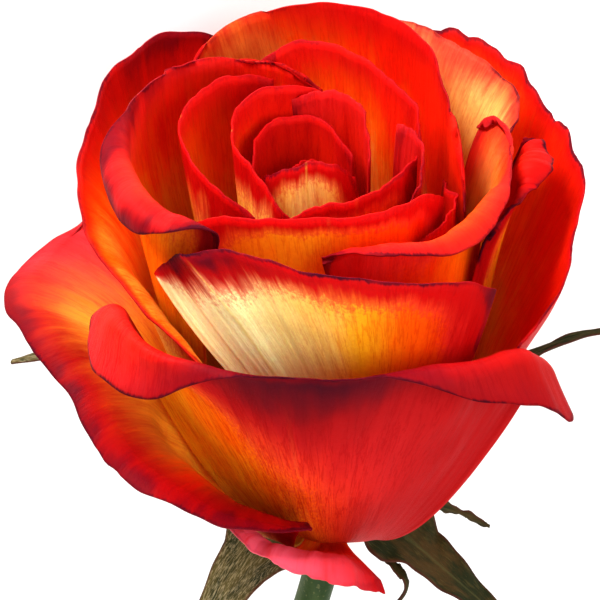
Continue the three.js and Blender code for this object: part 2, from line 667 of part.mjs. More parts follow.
// Lays the upright bloom down and centres it on the surface
function layDown(group) {
  group.rotation.set(Math.PI / 2 - AXIS_RAISED, 0, Math.PI);
  group.updateMatrixWorld(true);
  const box = new THREE.Box3().setFromObject(group, true);
  const middle = box.getCenter(new THREE.Vector3());
  group.position.set(-middle.x, -middle.y, -box.min.z);
}

const rose = new THREE.Group();
rose.add(...makePetals(), ...SEPALS.map(makeSepal), makeHip(), makeStem());
layDown(rose);

export default rose;
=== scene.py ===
import math
import random
from types import SimpleNamespace

import bpy
import numpy as np
from mathutils import Matrix, Vector


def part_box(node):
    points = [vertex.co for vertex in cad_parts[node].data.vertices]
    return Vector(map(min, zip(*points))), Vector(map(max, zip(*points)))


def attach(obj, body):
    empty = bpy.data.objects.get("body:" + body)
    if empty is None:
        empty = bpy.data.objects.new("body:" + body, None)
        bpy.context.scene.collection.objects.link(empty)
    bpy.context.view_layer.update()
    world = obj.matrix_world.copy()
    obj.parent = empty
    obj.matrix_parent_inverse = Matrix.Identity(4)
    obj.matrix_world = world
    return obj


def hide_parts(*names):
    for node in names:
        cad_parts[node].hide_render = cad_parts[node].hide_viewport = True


# A cut rose lying on a pale floor. Petals are the source's petals on a finer grid, thinner and
# with waved, ragged rims. Lengths are in millimetres until they are placed in the frame.
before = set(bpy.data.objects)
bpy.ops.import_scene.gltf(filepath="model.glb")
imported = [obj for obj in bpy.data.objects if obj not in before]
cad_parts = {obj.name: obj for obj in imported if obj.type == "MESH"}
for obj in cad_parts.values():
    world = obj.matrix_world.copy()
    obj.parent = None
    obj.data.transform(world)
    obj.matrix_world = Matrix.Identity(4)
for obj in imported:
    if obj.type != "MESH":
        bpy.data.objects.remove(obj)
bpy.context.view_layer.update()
MM = 0.001

# Driving dimensions, as in the part's source
RECEPTACLE = {"radius": 7.2, "rimZ": -3.0, "height": 10.5, "clearance": 0.75, "fullness": 0.9}
FLANK_START = math.radians(8)
FLANK_TURN = math.radians(97)
HIP_RADIUS = 6.0
HIP_BOTTOM_Z = -15
STEM_RADIUS = 2.7
STEM_GAP = 0.3
STEM_BEND = math.radians(6)
STEM_BEND_RADIUS = 300
STEM_LENGTH = 82
STEM_DRIFT_LEFT = 17
STEM_DRIFT_GROWTH = 1.1
STEM_CUT_SLANT = 0.9
STEM_JOIN = 0.6
STEM_SIDES = 48
STEM_ROWS = 160
STEM_RIDGE = 0.012
STEM_RIDGES = 5
STEM_RIDGE_TWIST = 0.05
HIP_STEPS = 6
FLANK_STEPS = 10
SOURCE_SIDES = 24
HIP_SIDES = 64
HIP_ROWS = 96
HIP_FULL_SHARE = 0.8
CUT_RINGS = (0.92, 0.5, 0.04)
HEART_OFFSET = {"x": -3.5, "y": 2.5, "z": 57}
AXIS_RAISED = math.radians(12.88)

# Finer forms than the source's, in millimetres. Waves are given by how often they cross a petal,
# a fade lowers each wave after the first, and a span is the share of the petal where a form grows.
PETAL_THICKNESS_BASE = 0.42
PETAL_THICKNESS_RIM = 0.26
SEPAL_THICKNESS = 0.6
SEPAL_THINNING = 0.55
RIM_WAVES = (1.7, 3.4, 6.3)
RIM_WAVE_FADE = 1.0
RIM_WAVE_SPAN = (0.5, 1.0)
PLEATS = (11, 17, 26)
PLEAT_FADE = 0.4
PLEAT_SPAN = (0.1, 0.5)
PLEAT_HEIGHT = 0.035
MIDRIB_HEIGHT = 0.45
MIDRIB_SPREAD = 2.5
MIDRIB_END_SPAN = (0.7, 1.0)
UNEVEN_WAVES = (4.3, 7.9, 14.1)
UNEVEN_FADE = 0.5
UNEVEN_REACH = 4.0
NOTCH_WIDTHS = (0.006, 0.018)
NOTCH_DEPTHS = (0.4, 1.6)
SEPAL_WAVES = (3.1, 7.3)
SEPAL_WAVE_HEIGHT = 0.35
SEPAL_WAVE_SLANT = 0.1
SEED_STEP = 10
TINY = 1e-9

# Rays that measure how far out a petal lies: level above the hub, fanning down below it
HUB_Z = 22
RAY_TOP_Z = 72
RAY_STEP = 1.5
RAY_COUNT = round(RAY_TOP_Z / RAY_STEP) + 1
SECTOR_COUNT = 90
PATCH_SAMPLES = 4
PUSH_BLURS = 4
LAST_SMALL_LAYER = 0.56
COARSE_COLUMNS = {"wide": 13, "small": 9}
COARSE_ROWS = 8
COARSE_ROLL_ROWS = 4
FINE_GRID = {"wide": (128, 56), "small": (80, 48)}
FINE_ROLL_ROWS = 20
SEPAL_GRID = (24, 120)
LEAFLET_GRID = (8, 40)

# The photograph's camera, in the upright bloom's own frame
VIEW_FROM_AXIS = math.radians(48)
VIEW_TARGET = (-4.8, -1.9, 32.9)
VIEW_DISTANCE = 430
VIEW_WIDTH = 84.4
SENSOR_WIDTH = 36
CLIP_START = 0.01

# Lights, in metres from the bloom: toward the camera, up and right in the picture. Power in watts.
LIGHTS = {
    "key": {"from": (0.42, 0.45, -0.30), "size": 0.3, "power": 8.0},
    "fill": {"from": (0.6, -0.1, 0.45), "size": 0.6, "power": 4.5},
    "under": {"from": (0.14, -0.69, -0.10), "size": 0.5, "power": 2.0},
}
WORLD_STRENGTH = 0.55
FLOOR_SIZE = 6

# Each petal's form, from the heart outward, and its markings. Angles are in degrees.
# layer: where its foot is on the receptacle; spacing: how far it clears what it encloses
# belly, rise: how full it is low down, and at what slope; up, flare: how it comes to the rim
# root, claw: the middle and the half width of its foot; opening: how it widens from there
# crest: stations of its rim, each with azimuth, radius, height, and roll and flare where it has any
# rollRadius, rollTurn: how tightly the rim rolls outward, and how far it turns at the most
# A marking is one number for the whole petal, or stations from its left to its right margin:
# gold: how far up the inner face the yellow base reaches, as a share of the petal
# pale: how creamy that base is
# tone: the outer face's ground, from ivory below 0 and cream at 0 to flame at 1
# blush: the width in millimetres of the red band under the outer face's rim
# dark, smudge: strength of the purple rim, and of the purple bruise under it
# deep, depth: strength of the crimson towards the rim, and how far down it goes in mm;
# this crimson is partly the petal's own deep red and partly painted shade on its shaded parts
# rose, pink: how far the red turns to rose, and how pink the whole petal is;
# both are partly the petal's own colour and partly a painted sheen, mostly on rolled margins
# bruise: how far down the purple bruise goes; fringe: the inner face's red margin, both in mm
# veined: how strongly the fine veins show
# sides: added distances in millimetres that keep the rim's colours off the left and right margin
# wave, rag: the rim's soft waves and its small unevenness, in millimetres
# teeth: how many small dips the rim has
# rib: where the raised midrib runs, as a share of the width
PETAL_FORM = {"flare": 0, "up": 0.45, "claw": 34, "opening": 0.9, "rollRadius": 2.6,
              "rollTurn": 180, "spacing": 1.3}
PETAL_MARKS = {
    "gold": (0.42, 0.45, 0.42), "pale": 0.1, "tone": (0.6, 0.5, 0.6), "blush": (7, 6, 7),
    "dark": (0.5, 0.3, 0.5), "smudge": 0, "deep": 0.2, "depth": 14, "rose": 0.1, "pink": 0,
    "bruise": 3, "fringe": 6, "veined": 0.35,
}
PETAL_EDGES = {"sides": (0, 0), "wave": 0.3, "rag": 0.1, "teeth": 9, "rib": 0.5}
PETAL_DEFAULTS = {**PETAL_FORM, **PETAL_MARKS, **PETAL_EDGES}
# What the two low petals behind the bloom have in common. They mirror each other.
LOW_BACK = {"layer": 0.95, "belly": 0.4, "rise": 36, "flare": 35, "up": 0.35, "rollRadius": 6,
            "tone": (0.1, 0, 0.1), "blush": (16, 11, 16), "wave": 0.8,
            "crest": [[186, 31, 20], [192, 35, 27, 2], [203, 38, 32, 5], [215, 39.2, 34, 6],
                      [228, 39.2, 33, 5], [240, 38, 28.5, 2], [247, 34.5, 21]]}
MIRRORED_CREST = [[360 - azimuth, *rest] for azimuth, *rest in reversed(LOW_BACK["crest"])]
PETALS = [
    {"name": "petal_heart_1", "layer": 0, "belly": 0.5, "rise": 70, "claw": 60,
     "crest": [[-60, 2.2, 49], [10, 2.2, 50], [80, 2.2, 50], [140, 2.3, 49]]},
    {"name": "petal_heart_2", "layer": 0.05, "belly": 0.5, "rise": 70, "claw": 60,
     "crest": [[100, 3, 50], [160, 3.4, 51.5], [215, 3.6, 52], [280, 3.4, 51]],
     "deep": 0.6},
    {"name": "petal_heart_3", "layer": 0.12, "belly": 0.7, "rise": 62, "flare": -8, "claw": 50,
     "crest": [[-84, 6.4, 52], [-55, 6.2, 55.4], [-22, 5.2, 57.4], [12, 4.6, 58], [46, 5.2, 56.8],
               [76, 6.2, 53]],
     "tone": (0.4, 0.15, 0.5), "blush": (5, 2.5, 4), "dark": (0.6, 0.9, 0.3)},
    {"name": "petal_heart_4", "layer": 0.2, "belly": 0.7, "rise": 60, "claw": 50,
     "crest": [[105, 5.8, 54], [150, 6.4, 56], [190, 7.6, 56.5], [240, 7.8, 56.5], [285, 7.8, 56],
               [318, 8, 54.5]],
     "tone": (0.8, 0.8, 0.2), "gold": 0.3, "blush": (6, 6, 2), "deep": 0.3},
    {"name": "petal_heart_5", "layer": 0.27, "belly": 0.7, "rise": 58, "flare": 4,
     "crest": [[85, 8, 55], [112, 8.8, 58], [140, 9, 60], [168, 8.6, 60], [195, 8.6, 58]],
     "rose": 0.3, "deep": (0.4, 0.2)},
    {"name": "petal_inner_1", "layer": 0.33, "belly": 0.7, "rise": 56, "flare": 2,
     "crest": [[150, 9.6, 57], [190, 9.8, 60], [235, 10.2, 60.5], [275, 10.2, 60.5], [310, 11, 60],
               [335, 12.2, 57.5], [350, 12.6, 54]],
     "gold": (0.5, 0.7, 0.7), "tone": (0.4, 0.3, 0.1), "blush": (8, 8, 2.5)},
    {"name": "petal_inner_2", "layer": 0.4, "belly": 0.65, "rise": 54, "flare": 4,
     "crest": [[-28, 12.4, 53], [-8, 12.4, 56], [15, 12.8, 57.5], [40, 13.6, 58], [62, 14.2, 58],
               [82, 14.8, 57]],
     "gold": 0.5, "tone": (0.8, 0.8, 0.9), "blush": 3},
    {"name": "petal_inner_3", "layer": 0.46, "spacing": 1.5, "belly": 0.65, "rise": 52, "flare": 8,
     "root": 62,
     "crest": [[50, 14.6, 53], [62, 14.4, 56.5], [76, 14, 58.8], [90, 13.4, 59.6],
               [104, 12.8, 58.5]],
     "gold": 0.5, "dark": (0.9, 0.6, 0.2), "rose": 0.4, "deep": (0.8, 0.4)},
    {"name": "petal_inner_4", "layer": 0.48, "belly": 0.65, "rise": 50, "flare": 3,
     "crest": [[-160, 14.4, 58], [-140, 15, 60.5], [-118, 16.6, 61], [-95, 17, 61],
               [-70, 17.2, 60.5], [-48, 16.8, 59], [-28, 15.8, 56]],
     "gold": (0.6, 0.75, 0.7), "tone": (0.5, 0.4, 0.1), "blush": (12, 12, 5)},
    {"name": "petal_inner_6", "layer": 0.53, "belly": 0.6, "rise": 46, "flare": 3,
     "crest": [[-50, 20.4, 55], [-36, 20.6, 58.5], [-15, 19.6, 60], [8, 18.8, 60], [32, 19.6, 60],
               [52, 19.8, 58.5], [66, 19.8, 55]],
     "gold": 0.5, "tone": (1.05, 0.5, 0.85, 1.1), "blush": (4, 2, 4), "dark": (0.1, 0.4, 0.1)},
    # The rose along its rolled rim is partly painted sheen
    {"name": "petal_cup_left", "layer": 0.57, "belly": 0.5, "rise": 44, "flare": -2,
     "rollRadius": 2.4,
     "crest": [[-188, 11, 57], [-172, 12.4, 59], [-158, 14, 60], [-144, 17.4, 60.5],
               [-130, 20.2, 61], [-118, 22.2, 61.5], [-103, 22.8, 61.5, 1], [-84, 24, 61.5, 3],
               [-65, 25.2, 61, 8], [-50, 26.4, 61, 9], [-38, 26.6, 60.5, 6], [-27, 26, 59.5, 2]],
     "gold": (0.6, 0.75, 0.75, 0.75, 0.7), "tone": (0.8, 0.75, 0.5), "blush": (14, 10, 2.5),
     "dark": (0.6, 0.8, 1), "deep": (0.2, 0.2, 0.7), "rose": (0.1, 0.1, 0.3, 0.8, 0.6),
     "fringe": (6, 6, 8, 12, 8), "smudge": (0, 0, 0.3, 0.8, 0.5), "wave": 0.4},
    {"name": "petal_inner_5", "layer": 0.6, "belly": 0.6, "rise": 48, "flare": 6,
     "crest": [[92, 15, 56], [108, 15.4, 59.5], [130, 15.6, 60.5], [155, 16.8, 61],
               [180, 18.4, 61], [203, 18.2, 59]],
     "gold": (0.5, 0.7, 0.7), "pale": (0.3, 0.5), "tone": 0.7},
    {"name": "petal_inner_7", "layer": 0.63, "belly": 0.6, "rise": 44, "flare": 6,
     "crest": [[38, 20.6, 51], [50, 20.2, 53.5], [62, 19.4, 54.5], [75, 18.6, 54],
               [88, 17.8, 52]]},
    {"name": "petal_cup_back", "layer": 0.67, "spacing": 1.6, "belly": 0.5, "rise": 42,
     "rollRadius": 4,
     "crest": [[64, 21.6, 54], [80, 20.4, 58.5], [98, 19.8, 60], [116, 20.4, 60, 1],
               [136, 23, 60, 2], [156, 25, 60.5, 2], [176, 26, 61, 1], [194, 26.2, 61],
               [209, 26, 59.5], [219, 25.4, 56.5], [225, 25, 51]],
     "gold": (0.2, 0.3, 0.5, 0.8, 1.15, 1), "pale": (0.1, 0.3, 0.4),
     "fringe": (5, 6, 6, 10, 12, 8), "dark": (0.8, 0.4, 0.4), "wave": 0.4},
    {"name": "petal_cup_right", "layer": 0.71, "belly": 0.44, "rise": 42, "flare": 36, "up": 0.3,
     "rollTurn": 125,
     "crest": [[4, 21, 55, 1], [16, 21.8, 57, 3], [30, 22.6, 57, 4.5], [46, 24.2, 56.5, 5.5],
               [60, 25.2, 56.5, 4.5], [74, 26.6, 57, 2], [89, 27.4, 57.5], [101, 26.2, 57.5],
               [108, 24.4, 54.5]],
     "gold": (0.7, 0.8, 0.9, 0.9), "pale": (0.2, 0.7), "tone": (1.1, 0.8, 0.6), "blush": (8, 8, 9),
     "dark": (0.8, 0.8, 0.3), "rose": (0.2, 0.4, 0.8), "fringe": (4, 6, 9), "wave": 0.4},
    {"name": "petal_cup_back_right", "layer": 0.74, "belly": 0.46, "rise": 40, "flare": 45,
     "up": 0.3,
     "crest": [[100, 25.6, 53], [107, 29.4, 56], [115, 31.6, 56.5], [126, 30.6, 57.5],
               [140, 28.4, 58.5], [154, 27.2, 58.5], [168, 27, 56]],
     "gold": (1.05, 1.2, 1.15), "pale": (0.6, 0.9), "rose": 0.7, "fringe": (7, 9, 9),
     "dark": (1, 0.8, 0.4), "wave": 0.5},
    # At its right margin the flame tone and the crimson that reaches 40 mm down are painted shade
    {"name": "petal_cup_front", "layer": 0.77, "belly": 0.46, "rise": 40, "root": 18, "claw": 14,
     "opening": 3,
     "crest": [[-46, 28.6, 52], [-42, 28.4, 55], [-37, 28.3, 57.8], [-30, 28.3, 60.5],
               [-20, 28.4, 61.3], [-10, 29, 61.5], [6, 30.2, 60.2], [22, 31.6, 58.2],
               [36, 32.8, 56], [46, 34, 52]],
     "tone": (-0.35, -0.35, 0, 0.58, 1.3), "blush": (0.5, 7, 5, 4, 4), "dark": (0, 1, 1, 1, 0.8),
     "deep": (0.1, 0.8, 0.3, 0.2, 0.5), "depth": (8, 8, 10, 12, 40), "sides": (14, 0),
     "smudge": (0, 1, 0.3, 0, 0), "veined": (0, 0.1, 0.4, 0.5), "rag": 0.14, "rib": 0.31},
    {"name": "petal_outer_fold", "layer": 0.8, "spacing": 1.6, "belly": 0.44, "rise": 40,
     "flare": 24, "rollRadius": 3,
     "crest": [[64, 25, 50.5, 1], [71, 26.2, 52.6, 3], [80, 27.2, 53.6, 5], [88, 27.8, 54, 6],
               [96, 28, 53.6, 5], [103, 28, 52, 2]],
     "gold": 0.5, "dark": 1, "deep": (0.7, 0.3), "wave": 0.5},
    {"name": "petal_outer_left", "layer": 0.83, "belly": 0.38, "rise": 42, "flare": 13,
     "up": 0.35,
     "crest": [[-166, 33, 44], [-158, 35.6, 50.5], [-144, 37.4, 53.5], [-128, 35.4, 54.5],
               [-108, 31.6, 55, 0, 24], [-84, 31, 55, 0, 40], [-62, 31.8, 53.5, 0, 54],
               [-42, 32.8, 49, 0, 58], [-26, 33.4, 43.5, 0, 54]],
     "gold": (0.4, 0.6, 0.75, 0.95, 0.95), "pale": (0, 0.3), "tone": 0.3, "dark": (0.8, 0.8, 0.3),
     "smudge": (0.8, 0.5, 0, 0, 0), "deep": (0.9, 0.6, 0.2, 0, 0), "fringe": (8, 8, 8, 3, 0.8),
     "blush": 12, "wave": 0.6, "rag": 0.15},
    {"name": "petal_outer_right", "layer": 0.86, "spacing": 1.5, "belly": 0.26, "rise": 48,
     "flare": 20, "root": 105, "opening": 1.3,
     "crest": [[42, 33, 39], [52, 35, 43.5], [68, 37.4, 48.5], [86, 37.8, 52], [105, 36.6, 53.5],
               [125, 36.8, 54], [146, 37.6, 53.5], [161, 37, 51], [169, 34.5, 45]],
     "gold": (0.3, 0.5, 0.75, 0.7), "tone": 0.3, "blush": 12, "dark": (0.7, 0.9, 0.8),
     "deep": (0.3, 0.4, 0.5), "depth": (8, 6, 8), "fringe": (5, 3, 4), "wave": 0.7, "rag": 0.4,
     "teeth": 34},
    {"name": "petal_outer_back", "layer": 0.88, "belly": 0.42, "rise": 38, "flare": 14,
     "rollRadius": 4,
     "crest": [[136, 32, 32], [143, 34, 39, 2], [156, 35.5, 43.5, 4], [172, 36.5, 45, 5],
               [190, 36.5, 45, 5], [206, 35.5, 43.5, 4], [219, 34, 39, 2], [226, 32, 32]],
     "tone": (0.2, 0.1, 0.2), "blush": (14, 9, 14), "wave": 0.7},
    # The crimson over its right half, reaching far down, is partly painted shade; the rose on its
    # left roll is partly painted sheen
    {"name": "petal_low_front", "layer": 0.91, "spacing": 3.1, "belly": 0.5, "rise": 8,
     "flare": 14, "claw": 24, "opening": 1.3, "rollRadius": 2.3, "rollTurn": 150,
     "crest": [[-65, 30.2, 38, 3], [-58, 30.4, 42.4, 9], [-48, 31, 45, 12.5], [-34, 32, 45.4, 11],
               [-18, 33.4, 46, 4], [0, 34, 46.2, 1], [18, 34.6, 46, 4], [34, 35.2, 44.6, 9],
               [44, 35.2, 43, 12], [50, 35.2, 39.5, 13.5], [54, 35.2, 35.5, 9]],
     "gold": (0.3, 0.3, 0.3, 0.3, 0.9), "tone": (0.5, 0.68, 0.95, 1.1), "blush": (3, 15, 46, 70),
     "dark": (0.9, 0.9, 1), "smudge": (0, 0, 0.5, 1, 0.4, 0.2, 0.2),
     "deep": (0.1, 0.2, 0.6, 0.8, 0.7), "depth": (12, 14, 28, 60, 70),
     "rose": (0.8, 0.5, 0.6, 0.4), "bruise": (3, 4, 9, 13, 9, 6, 4), "veined": (0.7, 0.8),
     "wave": 0.5, "rag": 0.15, "rib": 0.46},
    {"name": "petal_low_back_left", **LOW_BACK},
    {"name": "petal_low_back_right", **LOW_BACK, "crest": MIRRORED_CREST},
    # The pink and rose at its left end are partly painted sheen on its lit top; the crimson over
    # the rest is partly painted shade
    {"name": "petal_low_left", "layer": 0.98, "spacing": 1.7, "belly": 0.6, "rise": 36,
     "flare": 68, "up": 0.55, "root": -55, "rollRadius": 5,
     "crest": [[-110, 32.6, 38.5], [-101, 33.6, 38, 1], [-93, 36.8, 36.4, 4], [-86, 39.6, 34.2, 6],
               [-75, 36.8, 32, 5], [-61, 34.7, 29, 5], [-47, 35.4, 25, 5], [-33, 34.4, 21.5, 4],
               [-20, 32.8, 19, 3], [-4, 31, 16.5, 1]],
     "gold": (0.72, 0.9, 1.05, 0.75, 0.6), "tone": (0.2, 0.1, 0.2), "pink": (0.15, 0.2, 0, 0, 0),
     "rose": (1, 0.8, 0.1, 0, 0), "fringe": (28, 20, 9, 8, 8), "deep": (0, 0.3, 1, 1, 1),
     "depth": (10, 14, 20, 20, 20), "blush": (16, 12, 16), "dark": (0.3, 0.8, 0.7),
     "smudge": (0, 0.3, 0.8, 0.6, 0.6), "wave": 0.7, "rag": 0.2},
    {"name": "petal_low_tail", "layer": 1.02, "belly": 0.5, "rise": 28, "flare": 70, "up": 0.3,
     "root": -4, "claw": 16, "rollRadius": 6,
     "crest": [[-36, 29, 12], [-26, 30.5, 12.5, 1], [-14, 31, 12, 3], [0, 32, 10.5, 4],
               [12, 33.6, 8.5, 3]],
     "gold": 0.1, "tone": 0.9, "blush": 20, "pink": (1, 1, 0.7, 0), "rose": (0.9, 0.7, 0.1),
     "deep": (0, 0, 0.6), "wave": 0.5, "rag": 0.15},
]
# Sepals and their leaflets. Points are in a sepal's own axes: outward, sideways and up.
SEPALS = [
    {"name": "sepal_front_left", "azimuth": -53, "width": 3, "lobes": 0, "middle": [22, 0, -15],
     "tip": [30, 0, -34]},
    {"name": "sepal_front_right", "azimuth": 56, "width": 2.6, "lobes": 0, "middle": [20, 0, -13],
     "tip": [36, 0, -20],
     "leaflets": [
         {"path": [[10, 4, -8.5], [12.5, 8, -8.7], [14.1, 11, -11.8], [20.1, 13, -14.6]],
          "halfWidth": 1.5, "axis": 2},
         {"path": [[10.5, -3, -8.5], [12.5, -4, -15], [19, -4.3, -10], [14.9, -4.5, -18.7]],
          "halfWidth": 0.7, "axis": 1},
     ]},
    {"name": "sepal_right", "azimuth": 120, "width": 1, "lobes": 1, "middle": [27, 0, 9],
     "tip": [48, 0, 3.2]},
    {"name": "sepal_back", "azimuth": 180, "width": 1.4, "lobes": 0, "middle": [18, 0, -12],
     "tip": [24, 0, -18]},
    {"name": "sepal_left", "azimuth": -110, "width": 1, "lobes": 1, "middle": [33, 0, 15],
     "tip": [51.7, 0, 2.6]},
]
SEPAL_FOOT = {"radius": 6.4, "z": -7.7, "halfWidth": 2.5, "reach": 6, "drop": 1}
SEPAL_SHAPE = {"swell": 0.5, "swellRate": 2.2, "growRate": 3, "taper": 0.8, "tip": 0.35,
               "lobe": 0.3, "lobedPart": 0.7, "cupping": 0.22}
SEPAL_PALENESS = {"sepal_front_left": 1.0, "sepal_back": 0.7, "sepal_left": 0.6}
SEPAL_TIP_SWELL = {"sepal_left": 0.55}
SEPAL_TIP_PLACE = 0.92
SEPAL_TIP_SPREAD = 0.045
LEAFLET_SEED = 50
PRICKLE = {"height": 3.4, "lean": 1.6, "footLength": 2.4, "footWidth": 0.9, "sunk": 0.8,
           "taper": 1.3}
PRICKLE_SIDES = 20
PRICKLE_ROWS = 14
PRICKLE_TIP = 0.97
PRICKLES = [
    {"distance": 34, "angle": math.radians(35)},
    {"distance": 52, "angle": math.radians(150)},
    {"distance": 70, "angle": math.radians(60)},
]

# A rim's colours fade down the side margins below this share of the petal, by so many added
# millimetres a petal length, and round the corners between the rim and the sides
SIDE_FADE_START = 0.85
SIDE_FADE = 30
CORNER_SOFTNESS = 2.0

# How far apart the petals' and the sepals' flat sheets lie in the noise, so that no two match
PETAL_SHEET_STEP = 17.0
SEPAL_SHEET_STEP = 5.0

# Colours in linear light
CREAM = (0.93, 0.66, 0.22)
IVORY = (0.98, 0.84, 0.42)
GOLD = (0.92, 0.40, 0.012)
ORANGE = (0.90, 0.13, 0.002)
FLAME = (0.76, 0.016, 0.0005)
RED = (0.50, 0.0025, 0.0015)
# CRIMSON darkens the rims' own dark line and bruise, and is also painted shade towards the rims
CRIMSON = (0.24, 0.002, 0.004)
# ROSE and PINK are partly the petals' own colours and partly painted sheen
ROSE = (0.72, 0.030, 0.030)
PINK = (0.80, 0.13, 0.20)
PURPLE = (0.030, 0.002, 0.010)
RIB = (0.78, 0.55, 0.08)
VEIN = (0.72, 0.28, 0.30)
# The outer face's ground: each colour takes over from the one before between two tones
OUTER_GROUND = [(CREAM, -0.4, 0.1), (GOLD, 0.0, 0.45), (ORANGE, 0.4, 0.75), (FLAME, 0.7, 1.05)]
SEPAL_GREEN = (0.016, 0.020, 0.004)
SEPAL_BROWN = (0.060, 0.034, 0.008)
SEPAL_FIBRE = (0.10, 0.075, 0.02)
SEPAL_RIB = (0.09, 0.09, 0.03)
SEPAL_OLIVE = (0.095, 0.075, 0.018)
SEPAL_DOWN = (0.36, 0.29, 0.17)
SEPAL_MARGIN = (0.08, 0.015, 0.01)
STEM_DARK = (0.020, 0.045, 0.008)
STEM_GREEN = (0.05, 0.08, 0.016)
STEM_SPECK = (0.16, 0.16, 0.06)
PITH = (0.42, 0.50, 0.22)
PRICKLE_RED = (0.16, 0.04, 0.02)
PRICKLE_TAN = (0.25, 0.10, 0.04)
FLOOR_GREY = (0.86, 0.86, 0.86)
WHITE = (1.0, 1.0, 1.0)

# What is even all over a surface. Distances are in metres, as Blender takes them.
PETAL_RELIEF = {"depth": 0.0002, "strength": 0.4}
SEPAL_RELIEF = {"depth": 0.0003, "strength": 0.7}
STEM_RELIEF = PETAL_RELIEF
PETAL_SURFACE = {"Roughness": 0.5, "Specular IOR Level": 0.04, "Subsurface Weight": 0.4,
                 "Subsurface Radius": (1.0, 0.4, 0.2), "Subsurface Scale": 0.0012}
SEPAL_SURFACE = {"Roughness": 0.72, "Specular IOR Level": 0.2}
STEM_SURFACE = {"Roughness": 0.55, "Specular IOR Level": 0.2}
PRICKLE_SURFACE = {"Roughness": 0.4}
FLOOR_SURFACE = {"Roughness": 0.85}

# Noises. On petals and sepals a scale counts changes a millimetre, across and along the sheet.
# On the stem and its prickles it counts them a metre, along x, y and z.
PETAL_NOISES = {
    "streak": {"scale": (0.34, 0.05, 1.0), "roughness": 0.55, "distortion": 0.3},
    "fine": {"scale": (1.7, 0.14, 1.0), "roughness": 0.6, "distortion": 0.2},
    "cloud": {"scale": (0.11, 0.08, 1.0)},
    "speck": {"scale": (2.2, 1.3, 1.0), "detail": 2.0, "roughness": 0.7},
    "threads": {"scale": (0.9, 0.07, 1.0), "detail": 4.0, "roughness": 0.62, "distortion": 0.25},
}
SEPAL_NOISES = [
    {"scale": (0.30, 0.12, 1.0), "detail": 5.0, "roughness": 0.65},
    {"scale": (2.6, 0.45, 1.0)},
    {"scale": (3.6, 0.7, 1.0), "roughness": 0.7, "distortion": 0.4},
]
STEM_NOISES = [{"scale": (220.0, 60.0, 220.0), "detail": 4.0},
               {"scale": (1500.0, 1200.0, 1500.0), "detail": 2.0}]
PRICKLE_NOISE = {"scale": (500.0, 500.0, 500.0)}


def smoothstep(x, low, high):
    t = np.clip((x - low) / (high - low), 0, 1)
    return t * t * (3 - 2 * t)


def between(values, s):
    """Smooth value at s, 0 to 1, through evenly spaced stations."""
    last = len(values) - 1
    place = min(max(s, 0), 1) * last
    i = min(int(place), last - 1)
    t = place - i
    b, c = values[i], values[i + 1]
    a = values[i - 1] if i > 0 else 2 * b - c
    d = values[i + 2] if i + 2 <= last else 2 * c - b
    slope_b, slope_c = (c - a) / 2, (d - b) / 2
    t2, t3 = t * t, t * t * t
    return ((2 * t3 - 3 * t2 + 1) * b + (t3 - 2 * t2 + t) * slope_b
            + (3 * t2 - 2 * t3) * c + (t3 - t2) * slope_c)


def curve(t, points):
    """A cubic curve that starts at the first of four points and ends at the last."""
    m = 1 - t
    weights = (m ** 3, 3 * m * m * t, 3 * m * t * t, t ** 3)
    return sum(weight * point for weight, point in zip(weights, points))


def flank(t, out=0.0):
    """Radius and height of a point on the receptacle's flank, or a clearance out from it."""
    angle = FLANK_START + FLANK_TURN * t
    return ((RECEPTACLE["radius"] + out) * math.sin(angle) ** RECEPTACLE["fullness"],
            RECEPTACLE["rimZ"] + (RECEPTACLE["height"] + out) * math.cos(angle))


def to_ray(r, z):
    """Which ray points of the bloom's half-plane are on, and how far out along it."""
    fall = np.arctan2(HUB_Z - z, r)
    above = z >= HUB_Z
    ray = np.where(above, z, HUB_Z * (1 - fall / (math.pi / 2)))
    out = np.where(above, r, np.hypot(r, HUB_Z - z))
    return ray, out


def from_ray(ray, out):
    fall = np.where(ray >= HUB_Z, 0, (1 - ray / HUB_Z) * math.pi / 2)
    r = out * np.cos(fall)
    z = np.where(ray >= HUB_Z, ray, HUB_Z - out * np.sin(fall))
    return r, z


class Reach:
    """The outermost reach of everything made so far, by azimuth sector and ray."""

    def __init__(self):
        self.cells = np.zeros((SECTOR_COUNT, RAY_COUNT))

    def sector(self, azimuth):
        turns = azimuth / (2 * math.pi)
        return (turns - np.floor(turns)) * SECTOR_COUNT

    def at(self, azimuth, ray):
        i = np.floor(self.sector(azimuth)).astype(int)
        j = np.floor(ray / RAY_STEP).astype(int)
        best = np.zeros_like(azimuth)
        for di in (0, 1):
            for dj in (0, 1):
                inside = (j + dj >= 0) & (j + dj < RAY_COUNT)
                column = np.clip(j + dj, 0, RAY_COUNT - 1)
                found = self.cells[(i + di) % SECTOR_COUNT, column]
                best = np.maximum(best, np.where(inside, found, 0))
        return best

    def add(self, grid):
        """Fills the cells under every patch of a grid of azimuth, ray and reach."""
        a, b = grid[:, :-1, :-1], grid[:, 1:, :-1]
        c, d = grid[:, :-1, 1:], grid[:, 1:, 1:]
        for s in range(PATCH_SAMPLES + 1):
            for t in range(PATCH_SAMPLES + 1):
                u, v = s / PATCH_SAMPLES, t / PATCH_SAMPLES
                azimuth, ray, out = (1 - v) * ((1 - u) * a + u * b) + v * ((1 - u) * c + u * d)
                i = np.floor(self.sector(azimuth) + 0.5).astype(int) % SECTOR_COUNT
                j = np.floor(ray / RAY_STEP + 0.5).astype(int)
                inside = (j >= 0) & (j < RAY_COUNT)
                np.maximum.at(self.cells, (i[inside], j[inside]), out[inside])


